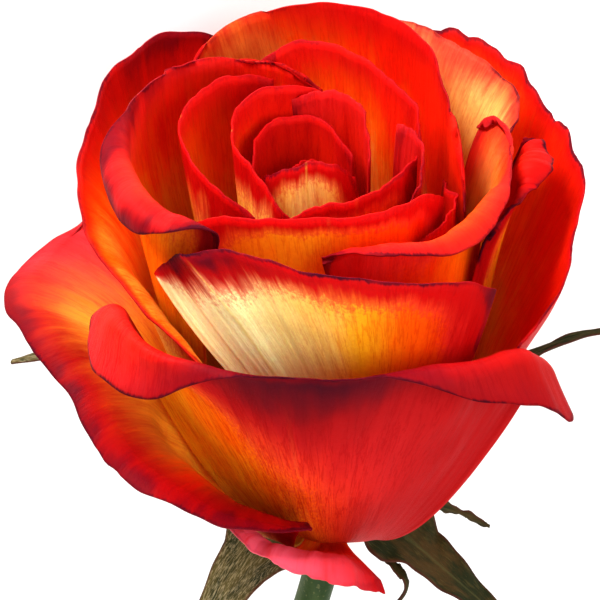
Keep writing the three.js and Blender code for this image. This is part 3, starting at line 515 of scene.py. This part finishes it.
def rolled(rim_r, rim_z, flare, length, petal):
    """A point past the rim: the margin turns outward on an arc, then hangs straight."""
    bend = petal["rollRadius"]
    turn = np.minimum(flare + length / bend, math.radians(petal["rollTurn"]))
    straight = length - (turn - flare) * bend
    r = rim_r + bend * (math.cos(flare) - np.cos(turn)) + straight * np.sin(turn)
    z = rim_z + bend * (np.sin(turn) - math.sin(flare)) + straight * np.cos(turn)
    return r, z


def rim_columns(petal):
    """The rim's azimuths, radii, heights, rolls and flares at the petal's stations."""
    missing = (0, 0, 0, 0, petal["flare"])
    return [[row[k] if k < len(row) else missing[k] for row in petal["crest"]] for k in range(5)]


def petal_grid(petal, columns, rows, roll_rows):
    """Azimuth, ray and reach of a petal's middle surface, from the foot to the rim and on."""
    first, last = (math.radians(petal["crest"][k][0]) for k in (0, -1))
    middle = math.radians(petal["root"]) if "root" in petal else (first + last) / 2
    claw = min(1, math.radians(petal["claw"]) / ((last - first) / 2))
    rise = math.radians(petal["rise"])
    foot_r, foot_z = flank(petal["layer"], RECEPTACLE["clearance"])
    v = np.linspace(0, 1, rows + 1)
    spread = claw + (1 - claw) * v ** petal["opening"]
    grid = np.zeros((3, columns + 1, rows + 1 + roll_rows))
    stations = rim_columns(petal)
    for i in range(columns + 1):
        angle, rim_r, rim_z, roll, flare = (between(column, i / columns) for column in stations)
        angle, flare = math.radians(angle), math.radians(flare)
        swell = petal["belly"] * rim_r
        pull = petal["up"] * (rim_z - foot_z)
        low_r, low_z = foot_r + swell * math.cos(rise), foot_z + swell * math.sin(rise)
        top_r, top_z = rim_r - pull * math.sin(flare), rim_z - pull * math.cos(flare)
        r = curve(v, (foot_r, low_r, top_r, rim_r))
        z = curve(v, (foot_z, low_z, top_z, rim_z))
        azimuth = middle + (angle - middle) * spread
        if roll_rows:
            length = max(0, roll) * np.arange(1, roll_rows + 1) / roll_rows
            rolled_r, rolled_z = rolled(rim_r, rim_z, flare, length, petal)
            r, z = np.append(r, rolled_r), np.append(z, rolled_z)
            azimuth = np.append(azimuth, np.full(roll_rows, angle))
        grid[0, i] = azimuth
        grid[1, i], grid[2, i] = to_ray(r, z)
    return grid


def mean_of_neighbours(field):
    columns, rows = field.shape
    padded, filled = np.pad(field, 1), np.pad(np.ones_like(field), 1)
    parts = [(slice(i, i + columns), slice(j, j + rows)) for i in range(3) for j in range(3)]
    return sum(padded[part] for part in parts) / sum(filled[part] for part in parts)


def push_field(grid, reach, spacing):
    """How far each point moves out to clear what is inside the petal, smoothly."""
    inner = reach.at(grid[0], grid[1])
    needed = np.where(inner > 0, np.maximum(0, inner + spacing - grid[2]), 0)
    field = needed
    for _ in range(PUSH_BLURS):
        field = np.maximum(needed, mean_of_neighbours(field))
    field[:, 0] = 0
    return field


def resample(field, columns, rows, roll_rows, coarse_rows):
    """The coarse field read smoothly on the finer grid."""
    total = field.shape[1] - 1
    places = list(np.linspace(0, coarse_rows, rows + 1) / total)
    if roll_rows:
        steps = np.arange(1, roll_rows + 1) / roll_rows
        places += list((coarse_rows + steps * (total - coarse_rows)) / total)
    across = np.array([[between(field[:, j], i / columns) for j in range(total + 1)]
                       for i in range(columns + 1)])
    return np.array([[between(row, place) for place in places] for row in across])


def to_space(grid):
    """From the bloom's rays to x, y, z, with the heart leaning off the axis."""
    r, z = from_ray(grid[1], grid[2])
    lean = z / HEART_OFFSET["z"]
    x = r * np.sin(grid[0]) + lean * HEART_OFFSET["x"]
    y = -r * np.cos(grid[0]) + lean * HEART_OFFSET["y"]
    return np.stack([x, y, z], axis=-1)


def lay_matrix():
    """Turns the upright bloom onto its back petals and moves it to where the frame has it."""
    turn = (Matrix.Rotation(math.pi / 2 - AXIS_RAISED, 4, "X")
            @ Matrix.Rotation(math.pi, 4, "Z"))
    corners = [turn @ Vector(point) for point in hip_points()]
    low = Vector([min(c[k] for c in corners) for k in range(3)])
    frame_low = Vector(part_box("hip_and_receptacle")[0]) / MM
    return Matrix.Translation(frame_low - low) @ turn


def hip_profile():
    profile = [(STEM_RADIUS, HIP_BOTTOM_Z)]
    waist_z = flank(1)[1]
    for share in np.arange(1, HIP_STEPS) / HIP_STEPS:
        bulge = math.sin(math.pi * share * HIP_FULL_SHARE)
        profile.append((STEM_RADIUS + (HIP_RADIUS - STEM_RADIUS) * bulge,
                        HIP_BOTTOM_Z + (waist_z - HIP_BOTTOM_Z) * share))
    profile += [flank(share) for share in np.linspace(1, 0, FLANK_STEPS + 1)]
    return profile


def hip_points():
    """The corners of the source's hip and receptacle."""
    angles = 2 * math.pi * np.arange(SOURCE_SIDES) / SOURCE_SIDES
    return [(r * math.sin(angle), -r * math.cos(angle), z)
            for r, z in hip_profile() for angle in angles]


LAY = lay_matrix()


def place(points):
    """Upright bloom points in millimetres to frame points in metres."""
    turn = np.array(LAY.to_3x3())
    return (points @ turn.T + np.array(LAY.translation)) * MM


def surface_normals(points):
    across = np.gradient(points, axis=0)
    along = np.gradient(points, axis=1)
    normals = np.cross(across, along)
    length = np.linalg.norm(normals, axis=-1, keepdims=True)
    return normals / np.maximum(length, TINY)


def add_object(name, data):
    made = bpy.data.objects.new(name, data)
    bpy.context.scene.collection.objects.link(made)
    return made


def add_mesh(name, points, faces):
    """A smooth piece from bloom points in millimetres."""
    mesh = bpy.data.meshes.new(name)
    mesh.from_pydata(place(points).tolist(), [], faces)
    mesh.shade_smooth()
    return add_object(name, mesh)


def blade(name, points, thickness):
    """A closed thin blade round a grid of points, with the grid's shape kept as attributes."""
    columns, rows = points.shape[:2]
    shift = surface_normals(points) * thickness[..., None] / 2
    both = np.concatenate([(points + shift).reshape(-1, 3), (points - shift).reshape(-1, 3)])
    count = columns * rows
    index = np.arange(count).reshape(columns, rows)
    a, b = index[:-1, :-1].ravel(), index[1:, :-1].ravel()
    c, d = index[1:, 1:].ravel(), index[:-1, 1:].ravel()
    outer = np.stack([a, b, c, d], axis=1)
    inner = np.stack([a, d, c, b], axis=1) + count
    edge = np.concatenate([index[:, 0], index[-1, 1:], index[-2::-1, -1], index[0, -2:0:-1]])
    following = np.roll(edge, -1)
    band = np.stack([edge, edge + count, following + count, following], axis=1)
    return add_mesh(name, both, np.concatenate([outer, inner, band]).tolist())


def keep_values(piece, name, values):
    """Stores one number a point as an attribute."""
    attribute = piece.data.attributes.new(name, "FLOAT", "POINT")
    attribute.data.foreach_set("value", np.ravel(values).astype(np.float32))


def keep(piece, name, values):
    """Stores one number a grid point as an attribute, for both faces of a blade."""
    keep_values(piece, name, np.concatenate([np.ravel(values), np.ravel(values)]))


def keep_sheet(piece, across, along, number):
    """Stores where each point lies on the flat sheet, in millimetres, as a vector."""
    flat = np.stack([across, along, np.full_like(across, number)], axis=-1).reshape(-1, 3)
    both = np.concatenate([flat, flat]).astype(np.float32)
    attribute = piece.data.attributes.new("sheet", "FLOAT_VECTOR", "POINT")
    attribute.data.foreach_set("vector", both.ravel())


def keep_face(piece):
    keep_values(piece, "outer_face", np.repeat([1.0, 0.0], len(piece.data.vertices) // 2))


def lengths_along(points, axis):
    steps = np.linalg.norm(np.diff(points, axis=axis), axis=-1)
    start = np.zeros_like(np.take(steps, [0], axis=axis))
    return np.concatenate([start, np.cumsum(steps, axis=axis)], axis=axis)


def measures(points):
    """Share of the width, lengths along and across, share of the length, and what is left of it."""
    columns, rows = points.shape[:2]
    u = np.linspace(0, 1, columns)[:, None] * np.ones((1, rows))
    along, across = lengths_along(points, 1), lengths_along(points, 0)
    return u, along, across, along / along[:, -1:], along[:, -1:] - along


def waves(u, seed, counts, fade):
    """A sum of sine waves across a petal, with seeded phases, each lower by the fade."""
    draw = random.Random(seed)
    total = np.zeros_like(u)
    for k, count in enumerate(counts):
        total += np.sin(2 * math.pi * (count * u + draw.random())) / (1 + fade * k)
    return total


def notches(u, seed, count):
    """Small dips at seeded places along a rim."""
    draw = random.Random(seed)
    total = np.zeros_like(u)
    for _ in range(count):
        middle = draw.random()
        width, depth = draw.uniform(*NOTCH_WIDTHS), draw.uniform(*NOTCH_DEPTHS)
        total -= depth * np.exp(-((u - middle) / width) ** 2)
    return total


def waved(points, petal, seed):
    """Adds the midrib, the soft waves, the pleats and the uneven rim to a petal."""
    u, _, across, share, to_rim = measures(points)
    normals = surface_normals(points)
    swing = petal["wave"] * waves(u, seed, RIM_WAVES, RIM_WAVE_FADE)
    swing = swing * smoothstep(share, *RIM_WAVE_SPAN)
    pleats = PLEAT_HEIGHT * waves(u, seed + 1, PLEATS, PLEAT_FADE)
    pleats = pleats * smoothstep(share, *PLEAT_SPAN)
    from_rib = np.abs(u - petal["rib"]) * across[-1:]
    midrib = MIDRIB_HEIGHT * np.exp(-from_rib / MIDRIB_SPREAD)
    midrib = midrib * (1 - smoothstep(share, *MIDRIB_END_SPAN))
    points = points + normals * (swing + pleats + midrib)[..., None]
    upward = np.gradient(points, axis=1)
    upward /= np.maximum(np.linalg.norm(upward, axis=-1, keepdims=True), TINY)
    uneven = waves(u, seed + 2, UNEVEN_WAVES, UNEVEN_FADE) + notches(u, seed + 3, petal["teeth"])
    shift = petal["rag"] * uneven * smoothstep(-to_rim, -UNEVEN_REACH, 0.0)
    return points + upward * shift[..., None]


def make_petal(petal, reach, number):
    """The source's petal on a fine grid, pushed out as far as the source's own grid is."""
    kind = "wide" if petal["layer"] > LAST_SMALL_LAYER else "small"
    rolls = any(len(station) > 3 and station[3] > 0 for station in petal["crest"])
    coarse_roll = COARSE_ROLL_ROWS if rolls else 0
    coarse = petal_grid(petal, COARSE_COLUMNS[kind], COARSE_ROWS, coarse_roll)
    field = push_field(coarse, reach, petal["spacing"])
    coarse[2] += field
    reach.add(coarse)
    columns, rows = FINE_GRID[kind]
    roll_rows = FINE_ROLL_ROWS if rolls else 0
    fine = petal_grid(petal, columns, rows, roll_rows)
    fine[2] += resample(field, columns, rows, roll_rows, COARSE_ROWS)
    points = waved(to_space(fine), petal, SEED_STEP * number)
    return finish_petal(petal, points, number)


def finish_petal(petal, points, number):
    """The petal's blade, with what its material needs at each point."""
    columns, rows = points.shape[:2]
    u, along, across, share, to_rim = measures(points)
    left, right = petal["sides"]
    to_side = np.minimum(across + left, across[-1:] - across + right)
    to_side = to_side + SIDE_FADE * np.maximum(0, SIDE_FADE_START - share)
    nearness = np.exp(-to_rim / CORNER_SOFTNESS) + np.exp(-to_side / CORNER_SOFTNESS)
    to_edge = -CORNER_SOFTNESS * np.log(nearness)
    thickness = PETAL_THICKNESS_BASE + (PETAL_THICKNESS_RIM - PETAL_THICKNESS_BASE) * share
    piece = blade(petal["name"] + "_fine", points, thickness)
    keep(piece, "share", share)
    keep(piece, "edge_mm", np.maximum(to_edge, 0))
    keep(piece, "rib_mm", np.abs(u - petal["rib"]) * across[-1:])
    for mark in PETAL_MARKS:
        stations = petal[mark] if isinstance(petal[mark], tuple) else (petal[mark], petal[mark])
        values = [between(stations, k / (columns - 1)) for k in range(columns)]
        keep(piece, mark, np.array(values)[:, None] * np.ones((1, rows)))
    fan = (u - 0.5) * across[-1:].max()
    keep_sheet(piece, fan, along, PETAL_SHEET_STEP * number)
    keep_face(piece)
    return piece


class Value:
    """A number in a material's nodes, with plain arithmetic."""

    def __init__(self, maker, socket):
        self.maker, self.socket = maker, socket

    def __add__(self, other):
        return self.maker.math("ADD", self, other)

    def __sub__(self, other):
        return self.maker.math("SUBTRACT", self, other)

    def __mul__(self, other):
        return self.maker.math("MULTIPLY", self, other)

    def __truediv__(self, other):
        return self.maker.math("DIVIDE", self, other)


class Maker:
    """Builds a material's nodes with short calls."""

    def __init__(self, name):
        self.material = bpy.data.materials.new(name)
        self.material.use_nodes = True
        self.tree = self.material.node_tree
        self.shader = self.tree.nodes["Principled BSDF"]

    def node(self, kind, **settings):
        made = self.tree.nodes.new("ShaderNode" + kind)
        for key, value in settings.items():
            setattr(made, key, value)
        return made

    def link(self, value, socket):
        """Joins a node's output to a socket, or sets a plain number, vector or colour on it."""
        if isinstance(value, (int, float)):
            socket.default_value = value
        elif isinstance(value, tuple):
            is_color = socket.type == "RGBA" and len(value) == 3
            socket.default_value = (*value, 1.0) if is_color else value
        else:
            output = value.socket if isinstance(value, Value) else value
            self.tree.links.new(output, socket)

    def attribute(self, name):
        return Value(self, self.node("Attribute", attribute_name=name).outputs["Fac"])

    def sheet(self):
        """Where a point lies on its flat sheet, in millimetres."""
        return self.node("Attribute", attribute_name="sheet").outputs["Vector"]

    def math(self, operation, *values):
        made = self.node("Math", operation=operation)
        for socket, value in zip(made.inputs, values):
            self.link(value, socket)
        return Value(self, made.outputs[0])

    def ramp(self, value, low, high, start=0.0, end=1.0):
        """From start to end as the value goes from low to high."""
        made = self.node("MapRange", interpolation_type="SMOOTHSTEP")
        for socket, given in zip(made.inputs, (value, low, high, start, end)):
            self.link(given, socket)
        return Value(self, made.outputs[0])

    def mix(self, factor, a, b, blend="MIX"):
        made = self.node("Mix", data_type="RGBA", blend_type=blend)
        for number, given in ((0, factor), (6, a), (7, b)):
            self.link(given, made.inputs[number])
        return made.outputs[2]

    def noise(self, vector, scale, detail=3.0, roughness=0.5, distortion=0.0):
        stretched = self.node("VectorMath", operation="MULTIPLY")
        self.link(vector, stretched.inputs[0])
        self.link(scale, stretched.inputs[1])
        made = self.node("TexNoise")
        settings = {"Vector": stretched.outputs[0], "Scale": 1.0, "Detail": detail,
                    "Roughness": roughness, "Distortion": distortion}
        for name, given in settings.items():
            self.link(given, made.inputs[name])
        return Value(self, made.outputs["Fac"])

    def finish(self, color, settings, relief=None, depth=0.0, strength=0.0):
        """Gives the shader its colour, its even settings and its relief, in metres."""
        for name, value in {"Base Color": color, **settings}.items():
            self.link(value, self.shader.inputs[name])
        if relief is not None:
            made = self.node("Bump")
            for name, given in (("Strength", strength), ("Distance", depth), ("Height", relief)):
                self.link(given, made.inputs[name])
            self.link(made.outputs[0], self.shader.inputs["Normal"])
        return self.material


def petal_fields(m):
    """The markings, distances and noises that a petal's colours are made from."""
    names = ("share", "edge_mm", "rib_mm", "outer_face", *PETAL_MARKS)
    p = SimpleNamespace(**{name: m.attribute(name) for name in names})
    sheet = m.sheet()
    for name, settings in PETAL_NOISES.items():
        setattr(p, name, m.noise(sheet, **settings) - 0.5)
    p.feather = p.streak * 0.75 + p.fine * 0.4
    return p


def petal_material():
    m = Maker("petal")
    p = petal_fields(m)
    veins = m.ramp(m.math("ABSOLUTE", p.threads), 0.0, 0.045, 1.0, 0.0)
    color = m.mix(p.outer_face, inner_colour(m, p), outer_colour(m, p))
    color = m.mix(veins * p.veined, color, VEIN, "MULTIPLY")
    color = m.mix(m.ramp(p.speck, -0.15, 0.15, 0.18, 0.0), color, VEIN, "MULTIPLY")
    # Pink and rose over the upper petal: partly its own colour, partly painted sheen
    blotched = m.mix(m.ramp(p.feather, -0.05, 0.4), PINK, ROSE)
    color = m.mix(p.pink * m.ramp(p.share, 0.5, 0.8), color, blotched)
    color = rim_colour(m, p, shaded(m, p, color))
    relief = p.fine + p.streak * 1.5 - veins * 0.25 + p.speck * 0.5
    return m.finish(color, PETAL_SURFACE, relief, **PETAL_RELIEF)


def inner_colour(m, p):
    """Yellow at the base, through orange to flame, with red or rose along the margins."""
    up = p.share + (p.feather * 0.4 + p.speck * 0.18) - p.gold + p.cloud * 0.35
    color = m.mix(m.ramp(up, -0.20, 0.10), m.mix(p.pale, GOLD, CREAM), ORANGE)
    color = m.mix(m.ramp(up, 0.0, 0.30), color, FLAME)
    inward = p.edge_mm + (p.feather + p.cloud) * (p.fringe * 1.1)
    # The rose here, on the margins and in patches, is partly the petal's own colour and partly
    # painted sheen
    margin = m.mix(p.rose, RED, ROSE)
    color = m.mix(m.ramp(inward, 0.0, p.fringe, 0.9, 0.0), color, margin)
    rosy = m.ramp(up, 0.0, 0.25) * m.ramp(p.cloud, -0.15, 0.15, 0.5, 1.0)
    return m.mix(rosy * p.rose, color, ROSE)


def outer_colour(m, p):
    """Ivory to orange ground, with a red band that runs down the veins from the rim."""
    tone = p.tone + p.feather * 0.25 + p.cloud * 0.3 - m.ramp(p.share, 0.1, 0.7, 0.3, 0.0)
    color = IVORY
    for following, start, full in OUTER_GROUND:
        color = m.mix(m.ramp(tone, start, full), color, following)
    looseness = m.math("MINIMUM", p.blush, 9.0) * 1.6
    part = (p.edge_mm + (p.feather + p.cloud * 0.8) * looseness) / p.blush
    color = m.mix(m.ramp(part + p.speck * 1.6, 0.85, 1.5, 0.6, 0.0), color, ROSE)
    color = m.mix(m.ramp(part, 0.45, 1.1, 1.0, 0.0), color, m.mix(p.rose, RED, ROSE))
    faint = m.ramp(p.rib_mm, 0.05, 0.4, 0.35, 0.0) * m.ramp(tone, 0.1, 0.6, 1.0, 0.1)
    return m.mix(faint, color, RIB)


def shaded(m, p, color):
    """Crimson towards the rim, where the petal has it: partly its own deep red, partly painted
    shade.
    """
    part = (p.edge_mm + (p.feather + p.cloud) * 14.0) / p.depth
    return m.mix(m.ramp(part, 0.1, 1.1, 0.9, 0.0) * p.deep, color, CRIMSON)


def rim_colour(m, p, color):
    """A thin purple line on the rim, and a bruise under it where the petal has one."""
    part = (p.edge_mm + (p.streak + p.cloud) * 8.0) / p.bruise
    color = m.mix(m.ramp(part, 0.3, 2.0, 0.9, 0.0) * p.smudge, color, CRIMSON)
    color = m.mix(m.ramp(part, 0.0, 1.0, 0.9, 0.0) * p.smudge, color, PURPLE)
    near = p.edge_mm + (p.fine + p.streak) * 1.2
    strength = p.dark * m.ramp(p.cloud, -0.15, 0.1, 0.35, 1.0)
    color = m.mix(m.ramp(near, 0.3, 1.8, 0.5, 0.0) * strength, color, CRIMSON)
    return m.mix(m.ramp(near, 0.05, 0.55, 0.95, 0.0) * strength, color, PURPLE)


def sepal_half_width(t, sepal):
    """Half the sepal's width along it: a broad foot, small side lobes and a long tip.

    The tip of one sepal that shows beside the bloom is a little wider, like a small leaf.
    """
    shape = SEPAL_SHAPE
    swell = 1 + shape["swell"] * np.sin(math.pi * np.minimum(1, t * shape["swellRate"]))
    growth = 1 + (sepal["width"] - 1) * np.minimum(1, t * shape["growRate"])
    taper = SEPAL_FOOT["halfWidth"] * swell * growth * (1 - t) ** shape["taper"] + shape["tip"]
    swing = np.sin(sepal["lobes"] * 2 * math.pi * t / shape["lobedPart"])
    lobe = np.where(t < shape["lobedPart"], shape["lobe"] * np.maximum(0, swing), 0)
    leafy = SEPAL_TIP_SWELL.get(sepal["name"], 0)
    return taper * (1 + lobe) + leafy * np.exp(-((t - SEPAL_TIP_PLACE) / SEPAL_TIP_SPREAD) ** 2)


def make_leaf(name, sepal, path, half, axis, columns, seed):
    """A waved blade along a path in the sepal's own axes, widened along one of them."""
    azimuth = math.radians(sepal["azimuth"])
    axes = np.array([[math.sin(azimuth), -math.cos(azimuth), 0],
                     [math.cos(azimuth), math.sin(azimuth), 0], [0, 0, 1]])
    t = np.linspace(0, 1, len(half))
    across = np.linspace(-1, 1, columns + 1)[:, None]
    own = np.repeat(curve(t[:, None], np.array(path))[None], columns + 1, axis=0)
    own[..., axis] += across * half
    cupped = SEPAL_SHAPE["cupping"] * half * across ** 2
    margin = waves(t + SEPAL_WAVE_SLANT * across, seed, SEPAL_WAVES, RIM_WAVE_FADE) * across ** 2
    own[..., 2] += cupped + SEPAL_WAVE_HEIGHT * margin
    points = own @ axes
    thickness = SEPAL_THICKNESS * (1 - SEPAL_THINNING * np.abs(across)) * np.ones_like(t)
    piece = blade(name, points, thickness)
    keep(piece, "share", t * np.ones_like(across))
    keep(piece, "middle", np.abs(across) * np.ones_like(t))
    keep(piece, "pale", SEPAL_PALENESS.get(sepal["name"], 0.0) * np.ones(points.shape[:2]))
    keep_sheet(piece, across * half, lengths_along(points, 1), SEPAL_SHEET_STEP * seed)
    keep_face(piece)
    return piece


def make_sepal(sepal, number):
    columns, rows = SEPAL_GRID
    foot = SEPAL_FOOT
    path = [[foot["radius"], 0, foot["z"]],
            [foot["radius"] + foot["reach"], 0, foot["z"] - foot["drop"]],
            sepal["middle"], sepal["tip"]]
    half = sepal_half_width(np.linspace(0, 1, rows + 1), sepal)
    return make_leaf(sepal["name"] + "_fine", sepal, path, half, 1, columns, number)


def make_leaflets(sepal, number):
    """Narrow leaflets, which the source fuses to their sepal."""
    columns, rows = LEAFLET_GRID
    t = np.linspace(0, 1, rows + 1)
    return [make_leaf(f"{sepal['name']}_leaflet_{k}", sepal, leaflet["path"],
                      SEPAL_SHAPE["tip"] + leaflet["halfWidth"] * (1 - t), leaflet["axis"],
                      columns, LEAFLET_SEED + SEED_STEP * number + k)
            for k, leaflet in enumerate(sepal.get("leaflets", []))]


def sepal_material():
    m = Maker("sepal")
    sheet, middle, pale = m.sheet(), m.attribute("middle"), m.attribute("pale")
    mottle, fibre, hairs = (m.noise(sheet, **settings) for settings in SEPAL_NOISES)
    color = m.mix(m.ramp(mottle, 0.4, 0.62), SEPAL_GREEN, SEPAL_BROWN)
    color = m.mix(m.ramp(fibre, 0.52, 0.7, 0.0, 0.4), color, SEPAL_FIBRE)
    color = m.mix(m.ramp(middle, 0.0, 0.10, 0.4, 0.0), color, SEPAL_RIB)
    color = m.mix(m.ramp(mottle, 0.35, 0.6) * pale * 0.8, color, SEPAL_OLIVE)
    downy = m.ramp(hairs, 0.42, 0.68, 0.0, 0.75) * pale
    downy = downy * m.ramp(m.attribute("share"), 0.15, 0.5, 0.15, 0.9)
    color = m.mix(downy, color, SEPAL_DOWN)
    color = m.mix(m.ramp(middle, 0.88, 1.0, 0.0, 0.7), color, SEPAL_MARGIN)
    return m.finish(color, SEPAL_SURFACE, fibre + mottle, **SEPAL_RELIEF)


def stem_point(distance):
    turned = min(STEM_BEND, distance / STEM_BEND_RADIUS)
    straight = max(0, distance - STEM_BEND * STEM_BEND_RADIUS)
    centre = np.array([
        -STEM_DRIFT_LEFT * (distance / STEM_LENGTH) ** STEM_DRIFT_GROWTH,
        STEM_BEND_RADIUS * (1 - math.cos(turned)) + straight * math.sin(turned),
        HIP_BOTTOM_Z - STEM_GAP - STEM_BEND_RADIUS * math.sin(turned) - straight * math.cos(turned),
    ])
    up = np.array([0, math.cos(turned), math.sin(turned)])
    along = np.array([0, up[2], -up[1]])
    return centre, up, along


def skin(name, rings):
    """A closed mesh through rings of points."""
    points = np.array(rings)
    count, sides = points.shape[:2]
    index = np.arange(count * sides).reshape(count, sides)
    following = np.roll(index, -1, axis=1)
    faces = np.stack([index[:-1], index[1:], following[1:], following[:-1]], axis=-1).reshape(-1, 4)
    caps = [index[0].tolist(), index[-1][::-1].tolist()]
    return add_mesh(name, points.reshape(-1, 3), faces.tolist() + caps)


def stem_ring(distance, share, slant):
    """A ring of the ridged stem, drawn in to a share of its radius."""
    centre, up, along = stem_point(distance)
    angle = 2 * math.pi * np.arange(STEM_SIDES) / STEM_SIDES
    ridge = 1 + STEM_RIDGE * np.sin(STEM_RIDGES * angle + STEM_RIDGE_TWIST * distance)
    lift = share * STEM_RADIUS * np.sin(angle) * ridge
    side = share * STEM_RADIUS * np.cos(angle) * ridge
    return (centre + np.outer(side, [1, 0, 0]) + np.outer(lift, up)
            + np.outer(slant * lift, along))


def make_stem():
    """From inside the hip to a slanted cut that shows paler pith."""
    rings = [stem_ring(0, 1, 0) + np.array([0, 0, STEM_JOIN])]
    rings += [stem_ring(STEM_LENGTH * k / STEM_ROWS, 1, 0) for k in range(STEM_ROWS)]
    rings += [stem_ring(STEM_LENGTH, share, STEM_CUT_SLANT) for share in (1, *CUT_RINGS)]
    piece = skin("stem_fine", rings)
    is_cut = np.arange(len(rings)) >= len(rings) - len(CUT_RINGS)
    keep_values(piece, "cut", np.repeat(is_cut, STEM_SIDES))
    return piece


def make_prickle(prickle, number):
    """A leaning cone with a long foot sunk in the stem."""
    centre, up, along = stem_point(prickle["distance"])
    outward = math.cos(prickle["angle"]) * np.array([1, 0, 0]) + math.sin(prickle["angle"]) * up
    sideways = np.cross(outward, along)
    foot = centre + outward * (STEM_RADIUS - PRICKLE["sunk"])
    tip = centre + outward * (STEM_RADIUS + PRICKLE["height"]) + along * PRICKLE["lean"]
    angle = 2 * math.pi * np.arange(PRICKLE_SIDES) / PRICKLE_SIDES
    rings = []
    for share in np.linspace(0, PRICKLE_TIP, PRICKLE_ROWS):
        size = (1 - share) ** PRICKLE["taper"]
        rings.append(foot + (tip - foot) * share
                     + np.outer(PRICKLE["footLength"] * size * np.cos(angle), along)
                     + np.outer(PRICKLE["footWidth"] * size * np.sin(angle), sideways))
    return skin(f"prickle_{number}", rings)


def make_hip():
    radii, heights = zip(*hip_profile())
    angle = 2 * math.pi * np.arange(HIP_SIDES) / HIP_SIDES
    rings = []
    for share in np.linspace(1, 0, HIP_ROWS + 1):
        r = between(radii, share) * (1 + STEM_RIDGE * np.cos(STEM_RIDGES * angle))
        z = np.full(HIP_SIDES, between(heights, share))
        rings.append(np.stack([r * np.cos(angle), r * np.sin(angle), z], axis=-1))
    return skin("hip_fine", rings)


def stem_material():
    m = Maker("stem")
    where = m.node("NewGeometry").outputs["Position"]
    mottle, speck = (m.noise(where, **settings) for settings in STEM_NOISES)
    color = m.mix(m.ramp(mottle, 0.35, 0.65), STEM_DARK, STEM_GREEN)
    color = m.mix(m.ramp(speck, 0.62, 0.7, 0.0, 0.5), color, STEM_SPECK)
    color = m.mix(m.attribute("cut"), color, PITH)
    return m.finish(color, STEM_SURFACE, speck + mottle, **STEM_RELIEF)


def prickle_material():
    m = Maker("prickle")
    where = m.node("NewGeometry").outputs["Position"]
    mottle = m.noise(where, **PRICKLE_NOISE)
    color = m.mix(m.ramp(mottle, 0.35, 0.65), PRICKLE_RED, PRICKLE_TAN)
    return m.finish(color, PRICKLE_SURFACE)


def dress(piece, material, slot, *nodes):
    piece.data.materials.append(material)
    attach(piece, "root")
    if nodes:
        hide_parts(*nodes)


def make_rose():
    petal_look, sepal_look = petal_material(), sepal_material()
    stem_look, prickle_look = stem_material(), prickle_material()
    reach = Reach()
    for number, petal in enumerate(PETALS):
        piece = make_petal({**PETAL_DEFAULTS, **petal}, reach, number)
        dress(piece, petal_look, "petal", petal["name"])
    for number, sepal in enumerate(SEPALS):
        dress(make_sepal(sepal, number), sepal_look, "sepal", sepal["name"])
        for leaflet in make_leaflets(sepal, number):
            dress(leaflet, sepal_look, "sepal")
    dress(make_hip(), stem_look, "stem", "hip_and_receptacle")
    dress(make_stem(), stem_look, "stem", "stem")
    for number, prickle in enumerate(PRICKLES):
        dress(make_prickle(prickle, number), prickle_look, "stem")


def bloom_direction(vector):
    return (LAY.to_3x3() @ Vector(vector)).normalized()


def make_camera():
    """Looks at the bloom as the photograph does, from in front and above its axis."""
    s, c = math.sin(VIEW_FROM_AXIS), math.cos(VIEW_FROM_AXIS)
    back = bloom_direction((0, -s, c))
    up = bloom_direction((0, c, s))
    right = bloom_direction((1, 0, 0))
    target = (LAY @ Vector(VIEW_TARGET)) * MM
    data = bpy.data.cameras.new("camera")
    data.sensor_width = SENSOR_WIDTH
    data.lens = SENSOR_WIDTH * VIEW_DISTANCE / VIEW_WIDTH
    data.clip_start = CLIP_START
    camera = add_object("camera", data)
    turn = Matrix((right, up, back)).transposed().to_4x4()
    camera.matrix_world = Matrix.Translation(target + back * VIEW_DISTANCE * MM) @ turn
    bpy.context.scene.camera = camera
    return target, back, up, right


def area_light(name, position, target, size, power):
    data = bpy.data.lights.new(name, "AREA")
    data.size = size
    data.energy = power
    light = add_object(name, data)
    light.location = position
    light.rotation_euler = (target - position).to_track_quat("-Z", "Y").to_euler()


def make_studio():
    target, back, up, right = make_camera()
    for name, light in LIGHTS.items():
        toward, upward, sideways = light["from"]
        position = target + toward * back + upward * up + sideways * right
        area_light(name, position, target, light["size"], light["power"])
    world = bpy.data.worlds.new("studio")
    world.use_nodes = True
    background = world.node_tree.nodes["Background"]
    background.inputs["Color"].default_value = (*WHITE, 1.0)
    background.inputs["Strength"].default_value = WORLD_STRENGTH
    bpy.context.scene.world = world
    bpy.ops.mesh.primitive_plane_add(size=FLOOR_SIZE, location=(0, 0, 0))
    floor = bpy.context.object
    floor.name = "floor"
    floor.data.materials.append(Maker("floor").finish(FLOOR_GREY, FLOOR_SURFACE))
    bpy.context.scene.view_settings.view_transform = "Standard"
    bpy.context.scene.view_settings.look = "Medium High Contrast"


make_rose()
make_studio()
